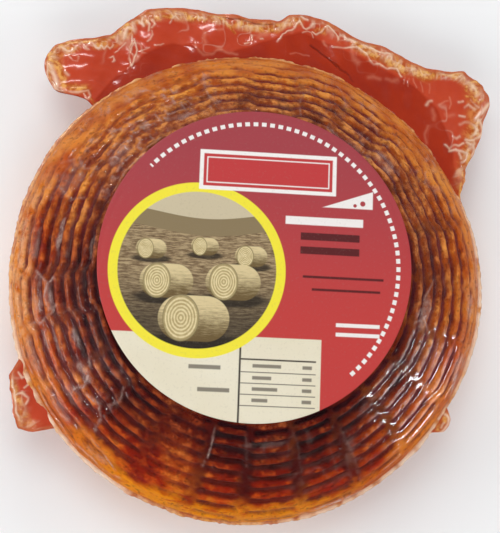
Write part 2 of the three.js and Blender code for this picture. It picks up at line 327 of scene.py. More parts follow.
def closed_skin(name, rows, columns, lift, masks, material):
    """lift(s, angle, x, y, z) gives how far the skin stands off the smooth wheel."""
    s, angle = np.meshgrid(rows, np.arange(columns) * 2 * np.pi / columns, indexing="ij")
    r, z, out, up = section_at(s)
    x, y = r * np.cos(angle), r * np.sin(angle)
    rise, found = lift(s, angle, x, y, z)
    swell = swell_at(angle) * r / WHEEL_RADIUS
    r = r + swell + out * rise
    z = z + up * rise
    points = np.stack([r * np.cos(angle), r * np.sin(angle), z], -1).reshape(-1, 3)
    n, m = s.shape
    poles = np.array([[0, 0, z[0].mean()], [0, 0, z[-1].mean()]])
    i, j = np.meshgrid(np.arange(n - 1), np.arange(m), indexing="ij")
    right = (j + 1) % m
    quads = np.stack([i * m + j, (i + 1) * m + j, (i + 1) * m + right, i * m + right], -1)
    ring = np.arange(m)
    turned = (ring + 1) % m
    top = np.stack([np.full(m, n * m), ring, turned], -1)
    low = np.stack([np.full(m, n * m + 1), (n - 1) * m + turned, (n - 1) * m + ring], -1)
    faces = quads.reshape(-1, 4).tolist() + top.tolist() + low.tolist()
    layers = {k: np.r_[found[k].ravel(), found[k][0].mean(), found[k][-1].mean()] for k in masks}
    return named_mesh(name, np.r_[points, poles] * MM, faces, layers, material)


# %% [markdown]
# ## Nodes in plain words
# Materials are built from shader nodes. A few helpers keep each material short: one adds a
# node, one does arithmetic, one mixes two colours, and one makes a soft-edged mask.

# %% Node helpers
def linear(hex_colour):
    """A display colour such as "#C04020" as the linear numbers that shaders use."""
    parts = [int(hex_colour[i:i + 2], 16) / 255 for i in (1, 3, 5)]
    return (*(c / 12.92 if c <= 0.04045 else ((c + 0.055) / 1.055) ** 2.4 for c in parts), 1.0)


def new_material(name):
    material = bpy.data.materials.new(name)
    material.use_nodes = True
    material.node_tree.nodes.clear()
    return material, material.node_tree


def add(tree, kind, inputs=None, **settings):
    node = tree.nodes.new(kind)
    for key, value in settings.items():
        setattr(node, key, value)
    for key, value in (inputs or {}).items():
        plug(tree, node.inputs[key], value)
    return node


def plug(tree, socket, value):
    if isinstance(value, bpy.types.NodeSocket):
        tree.links.new(value, socket)
    elif isinstance(value, str):
        socket.default_value = linear(value)
    elif isinstance(value, tuple) and len(value) == 3 and socket.type == "RGBA":
        socket.default_value = (*value, 1.0)
    else:
        socket.default_value = value


def sums(tree, operation, a, b=0.0, c=0.0, clamp=False):
    node = add(tree, "ShaderNodeMath", operation=operation, use_clamp=clamp)
    for socket, value in zip(node.inputs, (a, b, c)):
        plug(tree, socket, value)
    return node.outputs[0]


def times(tree, a, b):
    return sums(tree, "MULTIPLY", a, b)


def times_plus(tree, a, b, c, clamp=False):
    return sums(tree, "MULTIPLY_ADD", a, b, c, clamp)


def minus(tree, a, b):
    return sums(tree, "SUBTRACT", a, b)


def hypot(tree, a, b):
    return sums(tree, "SQRT", times_plus(tree, a, a, times(tree, b, b)))


def blend(tree, share, a, b):
    """Colour a where share is 0, b where it is 1. Inputs 6 and 7 are the node's two colours."""
    node = add(tree, "ShaderNodeMix", {0: share, 6: a, 7: b}, data_type="RGBA", clamp_factor=True)
    return node.outputs[2]


def soft(tree, value, low, high):
    """0 below low, 1 above high; the other way round if low is the larger."""
    falls = low > high
    node = add(tree, "ShaderNodeMapRange", {
        "From Min": min(low, high), "From Max": max(low, high), "To Min": float(falls),
        "To Max": float(not falls), "Value": value}, interpolation_type="SMOOTHSTEP", clamp=True)
    return node.outputs[0]


def mask(tree, name):
    return add(tree, "ShaderNodeAttribute", attribute_name=name).outputs["Fac"]


def object_place(tree):
    return add(tree, "ShaderNodeTexCoord").outputs["Object"]


def noise(tree, scale, detail=3.0, rough=0.55, where=None, distortion=0.0):
    node = add(tree, "ShaderNodeTexNoise", {
        "Vector": where or object_place(tree), "Scale": scale, "Detail": detail,
        "Roughness": rough, "Distortion": distortion})
    return node.outputs["Fac"]


def bumpy(tree, height, strength, depth):
    node = add(tree, "ShaderNodeBump", {"Height": height, "Strength": strength, "Distance": depth})
    return node.outputs["Normal"]


# %% [markdown]
# ## Oil and mottling, shared by several finishes
# The same cloudy unevenness shows in the rind, in the spare film and faintly in the paper. It
# is a node group with named inputs, so each finish sets its own size and strength.

# %% Shared node group for cloudy mottling
def mottle_group():
    group = bpy.data.node_groups.new("cloudy_mottle", "ShaderNodeTree")
    for name, way in (("Large Size", "INPUT"), ("Small Size", "INPUT"), ("Contrast", "INPUT"),
                      ("Cloud", "OUTPUT"), ("Speck", "OUTPUT")):
        group.interface.new_socket(name=name, in_out=way, socket_type="NodeSocketFloat")
    start, end = group.nodes.new("NodeGroupInput"), group.nodes.new("NodeGroupOutput")
    place = object_place(group)
    big, small = (add(group, "ShaderNodeTexNoise", {
        "Vector": place, "Scale": start.outputs[size], "Detail": detail}).outputs["Fac"]
        for size, detail in (("Large Size", 4.0), ("Small Size", 2.0)))
    cloud = times_plus(group, minus(group, big, 0.5), start.outputs["Contrast"], 0.5, clamp=True)
    group.links.new(cloud, end.inputs["Cloud"])
    group.links.new(soft(group, small, 0.56, 0.72), end.inputs["Speck"])
    return group


MOTTLE = mottle_group()


def mottle(tree, large, small, contrast):
    sizes = {"Large Size": large, "Small Size": small, "Contrast": contrast}
    node = add(tree, "ShaderNodeGroup", sizes, node_tree=MOTTLE)
    return node.outputs["Cloud"], node.outputs["Speck"]


# %% [markdown]
# ## The rind's finish
# The rind is brown-red where oil soaked in, amber on the rim where the cheese shows through, and
# tan where it was rubbed. Its colour also holds painted light: painted shade makes the grooves
# nearly black, a painted highlight lightens the top of each ridge, and painted shade leaves the
# front darker red than the right and the back, whose tan is partly painted light. Masks on the
# mesh say which place is which. Rubbing went round the wheel, so the fine streaks do too: their
# noise is read in turns and radius instead of in x and y.

# %% Material of the rind
RIND_MASKS = ("groove", "crest_highlight", "rib", "rim", "tan", "gold", "warm", "fair_and_sheen")


def round_the_wheel(tree, stretch):
    """A place for noise that is drawn out round the wheel's axis."""
    x, y, z = add(tree, "ShaderNodeSeparateXYZ", {0: object_place(tree)}).outputs
    turn = times(tree, sums(tree, "ARCTAN2", y, x), 0.09 / stretch)
    return add(tree, "ShaderNodeCombineXYZ", {0: turn, 1: hypot(tree, x, y), 2: z}).outputs[0]


def rind_material():
    material, tree = new_material("oiled_rind")
    cloud, speck = mottle(tree, 60.0, 620.0, 2.6)
    streak = noise(tree, 420.0, 4.0, 0.62, where=round_the_wheel(tree, 2.2))
    blotch = noise(tree, 190.0, 5.0, 0.68)
    patch = noise(tree, 85.0, 4.0, 0.62, distortion=0.6)
    grain = noise(tree, 800.0, 3.0, 0.6)
    groove, crest_highlight, rib, rim, tan, gold, warm, fair_and_sheen = (mask(tree, name) for name in RIND_MASKS)

    def zones(reds, tans):
        """Colours of red rind in painted shade and of rubbed rind in painted light, each as a pair
        from the label's side to the rim.
        """
        return blend(tree, tan, blend(tree, warm, *reds), blend(tree, warm, *tans))

    # dull and bright are the ridges' colours in painted shade and in painted light; lit mixes them
    # by the painted crest highlight, the tan mask and random blotches
    dull = zones(("#5A0E05", "#9C2206"), ("#96441A", "#C46416"))
    bright = zones(("#A8441C", "#D8540E"), ("#DE9250", "#F8AC48"))
    lit = times_plus(tree, crest_highlight, 0.36, times_plus(tree, tan, 0.16, 0.10))
    lit = times_plus(tree, minus(tree, blotch, 0.5), 3.4, lit)
    ridge = blend(tree, soft(tree, lit, 0.0, 0.8), dull, bright)
    streaks = times(tree, soft(tree, streak, 0.50, 0.68), 0.55)
    ridge = blend(tree, streaks, ridge, blend(tree, tan, "#3C0806", "#6A2610"))
    ridge = blend(tree, rib, ridge, blend(tree, tan, "#460A08", "#94501E"))
    amber = blend(tree, soft(tree, cloud, 0.2, 0.8), "#BA4206", "#D46C08")
    amber = blend(tree, times(tree, gold, soft(tree, streak, 0.28, 0.60)), amber, "#F49C0A")
    amber = blend(tree, times(tree, soft(tree, streak, 0.52, 0.72), 0.5), amber, "#A8380A")
    amber = blend(tree, tan, amber, blend(tree, soft(tree, cloud, 0.1, 0.9), "#B65418", "#E08E3A"))
    # pale rim: partly its own colour, partly a painted sheen of the film
    amber = blend(tree, times(tree, fair_and_sheen, soft(tree, blotch, 0.35, 0.60)), amber, "#F2B27C")
    ridge = blend(tree, rim, ridge, amber)
    # painted shade: the grooves are painted nearly black, a little lighter towards the rim
    groove_shade = blend(tree, tan, "#260206", "#70242A")
    groove_shade = blend(tree, times(tree, warm, 0.45), groove_shade, "#8E2A0C")
    shade = times_plus(tree, minus(tree, streak, 0.5), 0.9, groove)
    shade = times_plus(tree, minus(tree, blotch, 0.5), 1.1, shade, clamp=True)
    colour = blend(tree, soft(tree, shade, 0.02, 0.85), ridge, groove_shade)
    dark = times(tree, soft(tree, patch, 0.52, 0.66), times_plus(tree, warm, -0.55, 0.65))
    colour = blend(tree, dark, colour, blend(tree, tan, "#30060A", "#5E2A1A"))
    colour = blend(tree, times(tree, speck, 0.45), colour, blend(tree, tan, "#2A0604", "#5A2412"))
    height = times_plus(tree, streak, 0.7, times(tree, grain, 0.3))
    shader = add(tree, "ShaderNodeBsdfPrincipled", {
        "Base Color": colour, "Roughness": times_plus(tree, cloud, 0.20, 0.32), "IOR": 1.12,
        "Normal": bumpy(tree, height, 0.55, 0.0008)})
    add(tree, "ShaderNodeOutputMaterial", {"Surface": shader.outputs["BSDF"]})
    return material


# %% [markdown]
# ## The film's finish
# Clear film mostly lets the rind show through, and mirrors the room weakly head on and more at
# a glancing angle. Fresnel gives that share, and a ceiling on it keeps steep places from turning
# white. Glass with real thickness would bend and darken what lies under it and be slow to
# render, so the film is a clear shader and a mirror shader, mixed. Film that hangs free is
# smoother than film pressed on the rind, so it mirrors more sharply. Where film is creased or
# bridges a hollow it looks milky: a mask on the mesh adds a little pale diffuse there. The same
# pale diffuse also paints highlights and reflections of the room: a painted sheen on some
# creases, bridges and ruffles and along the rim.

# %% Material of the film drawn tight over the wheel
MIRROR_AT_MOST = 0.08


def film_material():
    material, tree = new_material("clear_film")
    free = mask(tree, "free")
    fine = noise(tree, 300.0, 3.0, 0.6, distortion=0.8)
    normal = bumpy(tree, times(tree, fine, times_plus(tree, free, -0.85, 1.0)), 0.40, 0.0006)
    rough = times_plus(tree, free, -0.16, 0.22)
    clear = add(tree, "ShaderNodeBsdfTransparent", {"Color": (1.0, 0.975, 0.96)})
    mirror = add(tree, "ShaderNodeBsdfGlossy", {"Roughness": rough, "Normal": normal})
    share = add(tree, "ShaderNodeFresnel", {"IOR": 1.26, "Normal": normal})
    share = sums(tree, "MINIMUM", share.outputs[0], MIRROR_AT_MOST)
    tight = add(tree, "ShaderNodeMixShader", {0: share, 1: clear.outputs[0], 2: mirror.outputs[0]})
    pale_diffuse_and_sheen = add(tree, "ShaderNodeBsdfDiffuse", {"Color": "#DDB9AC", "Roughness": 0.4})
    patchy = times(tree, mask(tree, "milky_and_sheen"), soft(tree, noise(tree, 210.0, 3.0, 0.6), 0.25, 0.65))
    mixed = add(tree, "ShaderNodeMixShader", {0: patchy, 1: tight.outputs[0], 2: pale_diffuse_and_sheen.outputs[0]})
    add(tree, "ShaderNodeOutputMaterial", {"Surface": mixed.outputs[0]})
    return material


# %% [markdown]
# ## The rind
# The rind lies a little under the film. Its ridges stand near the outer size of the solid and
# its grooves are cut below it. The masks that the finish needs are measured at the same places.
# How tan and how golden the rind is changes slowly round the wheel, so a few stops give it. The
# tan stops also hold painted light: low at the front, in painted shade, high at the right and the
# back.

# %% Rind mesh
FILM_OVER_RIND = 0.35
# how tan the rind is round the wheel: rubbed rind together with painted light and shade
TAN_AND_LIT = [
    (0, 0.70), (30, 0.85), (60, 0.85), (90, 0.75), (120, 0.85), (150, 0.62), (170, 0.32),
    (205, 0.18), (225, 0.14), (240, 0.08), (270, 0.05), (300, 0.12), (320, 0.25), (340, 0.50),
]
GOLD = [
    (0, 0.3), (30, 0.4), (50, 0.8), (70, 0.5), (100, 0.4), (140, 0.4), (160, 0.4), (185, 0.6),
    (205, 0.3), (225, 0.1), (238, 0.9), (285, 0.9), (300, 0.3), (320, 0.3),
]
# where the rim is pale, partly its own colour and partly a painted sheen of the film
FAIR_AND_SHEEN = [
    (0, 0.5), (25, 0.1), (120, 0.1), (150, 0.2), (168, 0.9), (190, 0.8), (205, 0.1), (235, 0.0),
    (320, 0.0),
]


def rind_at(s, angle, x, y, z):
    marks = basket_marks(s, angle, x, y, z)
    degrees, share = marks["degrees"], marks["share"]
    over = ease(s, 1.0, 4.0) * (1 - ease(s, FOOT_AT, ALONG[-1]))
    ruffled = 1.5 * np.exp(-(((degrees - 130) / 28) ** 2)) + 0.35
    turn = degrees * 1.6
    ruffle = wander(turn, s * 0.55, 0 * s, 2.6, 24) * 0.30 * ruffled * (1 - ease(s, 50, 58))
    rubbed = wander(x, y, z, 8, 21) * 0.20 + wander(x, y, z, 3.0, 22) * 0.14 + ruffle
    pits = -0.7 * ease(wander(x, y, z, 2.2, 23), 0.55, 0.9) * share
    rise = marks["height"] - FILM_OVER_RIND + (rubbed + pits) * over
    cloud = wander(x, y, z, 14, 31) * 4.0 + wander(x, y, z, 5, 32) * 2.5
    cloud = cloud + wander(turn, s, 0 * s, 2.2, 33) * 1.5
    rim = ease(s + cloud, around(degrees, RIM_FROM) - 4, around(degrees, RIM_FROM) + 5)
    found = {
        "groove": marks["groove"],
        "crest_highlight": marks["crest_highlight"],
        "rib": marks["rib"],
        "rim": rim,
        # rubbed tan together with painted light: dark red at the front, lighter at the right and
        # the back
        "tan": np.clip(around(degrees, TAN_AND_LIT) + 0.07 * cloud, 0, 1),
        "gold": around(degrees, GOLD) * ease(s + cloud, 38, 48),
        "warm": ease(s + 1.6 * cloud, 8, 44),
        "fair_and_sheen": around(degrees, FAIR_AND_SHEEN) * ease(s + cloud, 36, 48),
    }
    return rise, found, marks


def rind_lift(s, angle, x, y, z):
    return rind_at(s, angle, x, y, z)[:2]


COLUMNS = 696
rind = closed_skin("rind", skin_rows(0.62, 1.1), COLUMNS, rind_lift, RIND_MASKS, rind_material())
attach(rind, "root")
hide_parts("sealed_wheel")

# %% [markdown]
# ## The film over the wheel
# Film under vacuum touches the ridges and is pulled part of the way into the grooves. It keeps
# creases that run down the shoulder, where the sheet was gathered as it shrank, and bridges a
# few hollows. The main creases and bridges are listed, as degrees round the wheel and
# millimetres along the section. Noise adds the small ones.

# %% Creases and bridges of the film
# width in mm, strength and line (degrees, mm along the section) of each crease; their milky pale is
# partly the creased film's own and partly a painted highlight
WHEEL_CREASES = [
    (0.45, 0.9, [(255.5, 2), (256, 12), (255.8, 20), (255.2, 25)]),
    (0.9, 0.25, [(266.5, 3), (267, 12), (268, 22)]),
    (0.7, 0.22, [(283, 3), (284, 15), (284, 34)]),
    (0.6, 0.25, [(299, 12), (299.5, 30), (299, 46)]),
    (0.7, 0.9, [(181.5, 27), (183, 31), (186, 32.5), (190, 31)]),
    (0.6, 0.8, [(179, 37), (181, 33), (183, 31)]),
    (0.6, 0.8, [(189, 27), (191.5, 31), (193, 37), (192, 43)]),
    (0.7, 0.8, [(208, 18), (212, 22), (214, 28), (213, 33)]),
    (0.6, 0.8, [(216, 29), (221, 27), (224, 32), (225, 38)]),
    (0.6, 0.6, [(222, 12), (224, 18), (223, 24)]),
    (0.5, 0.6, [(146, 20), (148, 27), (146, 34), (149, 41)]),
    (0.5, 0.6, [(156, 18), (158, 26), (155, 36)]),
    (0.5, 0.5, [(128, 8), (127, 18), (130, 28)]),
    (0.5, 0.5, [(103, 18), (104, 27), (103, 40)]),
    (0.5, 0.7, [(343, 9), (346, 14), (350, 17)]),
    (0.5, 0.7, [(348, 10), (345, 15), (343, 18)]),
    (0.5, 0.6, [(352, 12), (356, 15), (359, 17)]),
    (0.6, 0.6, [(326, 35), (330, 30), (342, 27)]),
    (0.5, 0.5, [(74, 10), (75.5, 18), (74.5, 28)]),
    (0.5, 0.5, [(61, 28), (63, 36), (66, 42)]),
    (0.5, 0.5, [(29, 30), (32, 36), (31, 44)]),
    (0.8, 0.9, [(208, 50), (213, 51.5), (219, 51), (224, 53)]),
    (0.6, 0.9, [(224, 51), (229, 50), (233, 52), (237, 49.5)]),
    (0.5, 0.8, [(226, 42), (231, 43.5), (235, 47)]),
    (0.8, 0.9, [(285, 51.5), (289, 50.5), (294, 52), (298, 54)]),
    (0.5, 0.7, [(305, 48.5), (311, 48)]),
    (0.8, 0.7, [(332, 50), (336, 47), (341, 46), (344, 50)]),
    (0.9, 0.8, [(349, 53), (355, 51.5), (363, 52), (372, 53.5)]),
    (0.6, 0.8, [(194, 50), (199, 52), (204, 50)]),
    (0.5, 0.6, [(213, 3), (218, 8), (216, 13)]),
]
# how far the film follows the grooves, round the wheel
HUG = [(0, 0.40), (270, 0.40), (296, 0.15), (343, 0.15), (355, 0.40)]
# bridges of film over hollows; their milky pale is partly the film's own and partly a painted
# reflection of the room
# centre in degrees and mm, half width in degrees, half height in mm, strength
BRIDGES = [
    (169, 26, 4.5, 1.5, 1.0), (201, 20.5, 3.5, 1.2, 0.9), (199, 31, 6.0, 1.0, 0.8),
    (198, 36.5, 3.0, 1.1, 1.0), (211, 24, 3.5, 3.0, 0.8), (214, 35, 4.0, 3.5, 0.5),
    (172, 7, 4.0, 2.0, 0.5), (115, 13, 5.0, 2.2, 0.5), (139, 15, 4.0, 5.0, 0.45),
    (348, 14.5, 6.0, 2.6, 0.7), (41, 15, 5.0, 4.5, 0.6), (354, 44, 3.0, 2.5, 0.8),
    (338, 48, 4.0, 5.0, 0.6), (186, 30, 4.0, 1.2, 0.7), (57, 8, 8.0, 2.0, 0.35),
    (273, 11, 7.0, 1.4, 0.30), (312, 12, 5.0, 1.2, 0.3), (171, 40, 6.0, 3.0, 0.55),
    (186, 37, 6.0, 3.0, 0.6), (200, 46, 4.5, 2.6, 0.6), (172, 48, 7.0, 2.0, 0.4),
    (215, 45, 5.0, 2.5, 0.5), (230, 47, 3.5, 1.8, 0.55), (152, 32, 5.0, 6.0, 0.35),
    (336, 51, 5.0, 3.0, 0.6), (0, 51, 12.0, 2.5, 0.6), (22, 50, 5.0, 3.0, 0.4),
    (290, 52, 7.0, 1.6, 0.7),
]


PER_DEGREE = 1.57  # mm along the middle of the shoulder


def film_lift(s, angle, x, y, z):
    under, _, marks = rind_at(s, angle, x, y, z)
    degrees, share = marks["degrees"], marks["share"]
    on_side = ease(s, 3, 9) * (1 - ease(s, FOOT_AT - 2, FOOT_AT + 2))
    flat_x = degrees * PER_DEGREE
    creased = 0 * s
    for width, strength, points in WHEEL_CREASES:
        wavy = flat_x + 0.5 * wander(x, y, z, 3.5, 45)
        line = stroke(wavy, s, [(d * PER_DEGREE, along) for d, along in points], width)
        creased = np.maximum(creased, strength * line)
    bridged = 0 * s
    for centre, along, half_turn, half, strength in BRIDGES:
        away = ((degrees - centre) / half_turn) ** 2 + ((s - along) / half) ** 2
        away = away + 0.5 * wander(x, y, z, 3, 46)
        bridged = np.maximum(bridged, strength * (1 - ease(away, 0.4, 1.5)))
    small = creases(np.cos(angle) * 60, np.sin(angle) * 60, s / 2.5, 3.4, 41, 0.08) * on_side
    small = small * ease(wander(x, y, z, 13, 44), 0.0, 0.5)
    back = np.exp(-(((degrees - 128) / 26) ** 4)) + 0.45 * np.exp(-(((degrees - 50) / 30) ** 4))
    lean = flat_x + 3.0 * wander(x, y, z, 12, 49)
    # radial ruffles at the back; through the milky mask they also carry painted highlights
    ruffle = creases(lean, s * 0.35, 0 * s, 1.9, 48, 0.17) * back
    ruffle = ruffle * ease(wander(x, y, z, 7, 50), -0.3, 0.4) * on_side
    slack = 0.10 * wander(x, y, z, 4.5, 42) * on_side
    sag = marks["height"] * around(degrees, HUG) * (1 + 0.35 * wander(x, y, z, 12, 43))
    sag = sag * (1 - 0.7 * bridged)
    rise = sag + slack + 0.45 * creased + 0.22 * small + 0.30 * ruffle
    rise = np.maximum(rise, under + 0.12)
    gap = rise - under
    # milky: pale where the film is creased or bridges a hollow, plus painted highlights and painted
    # reflections of the room on the same creases, bridges and ruffles
    milky_and_sheen = 0.65 * creased**1.5 + 0.38 * bridged + 0.08 * small * share + 0.48 * ruffle
    milky_and_sheen = milky_and_sheen + 0.05 * ease(gap, 0.8, 1.5) * ease(wander(x, y, z, 11, 47), -0.2, 0.6)
    free = ease(gap, 0.3, 0.75) * (1 - ease(creased + bridged, 0.2, 0.8))
    return rise, {"milky_and_sheen": np.clip(milky_and_sheen, 0, 0.85) * on_side, "free": free}


film = closed_skin("film_over_wheel", skin_rows(0.66, 1.2), COLUMNS, film_lift, ("milky_and_sheen", "free"),
                   film_material())
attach(film, "root")
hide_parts("sealed_wheel")

# %% [markdown]
# ## The spare film
# Outside the wheel the two sheets of the bag lie on each other with red oil between them. They
# are crumpled: pinched loops, sharp creases, and a thick crinkled line near the edge where the
# bag was welded. A grid from the seam to the outline takes all of that as height. The main
# folds are listed lines; noise adds the small ones. A cloth simulation would need a
# bag, a pump and minutes of time for folds that couldn't be placed.

# %% Outline of each flap, as degrees round the wheel and reach beyond it
BACK_FLAP = [
    (21, 0.4), (23.5, 2.1), (25.8, 7), (28.2, 10.2), (30, 15.3), (31.6, 19.7), (33.4, 27),
    (35.4, 31.5), (37.2, 40), (40.6, 43.8), (45.4, 40.9), (47.7, 34.7), (50.6, 30), (53.6, 27.1),
    (60, 25.4), (65.4, 22.8), (69.5, 24.5), (77.7, 26), (81.2, 24.2), (83, 20.2), (89.5, 19.9),
    (95.8, 22.6), (104, 28.1), (110, 31.6), (114.9, 28.2), (118.8, 25.9), (121.5, 28.2),
    (124, 33), (126.3, 35.9), (128.2, 34.4), (129.6, 31), (130.6, 26.4), (131.3, 18.5),
]
LEFT_FLAP = [(199, 0.5), (201.9, 6.9), (206, 9.9), (209.9, 12.9), (213, 13.7), (215.4, 9.5),
             (217.5, 1.4), (220, 0.3)]
RIGHT_FLAP = [(321.3, 0.5), (323.2, 4.6), (324.8, 5.6), (326.6, 4.7), (328.4, 0.4)]
FILM_ROOT, FILM_DROOP, CRUMPLE = 103.0, 6.0, 2.6
FLAP_MIDDLE, FLAP_NOISE_AT = 125, 130
LEFT_HORN_FLARE, FLARE_SPAN = 3.6, 12.0
# how far from the wheel the film lies flat on its oil, as (degrees, mm)
FLAT_TO = [
    (21, 3), (26, 3.3), (31, 6.8), (36, 11.5), (43, 17), (53, 17), (61, 14.5), (69, 14.5),
    (78, 16), (83, 11), (88, 6.3), (92, 3.7), (94, 2.3), (97, 3.7), (100, 2.3), (103, 8.2),
    (107, 11.3), (113, 10.7), (118, 7.5), (124, 6.2), (131, 1.6),
]
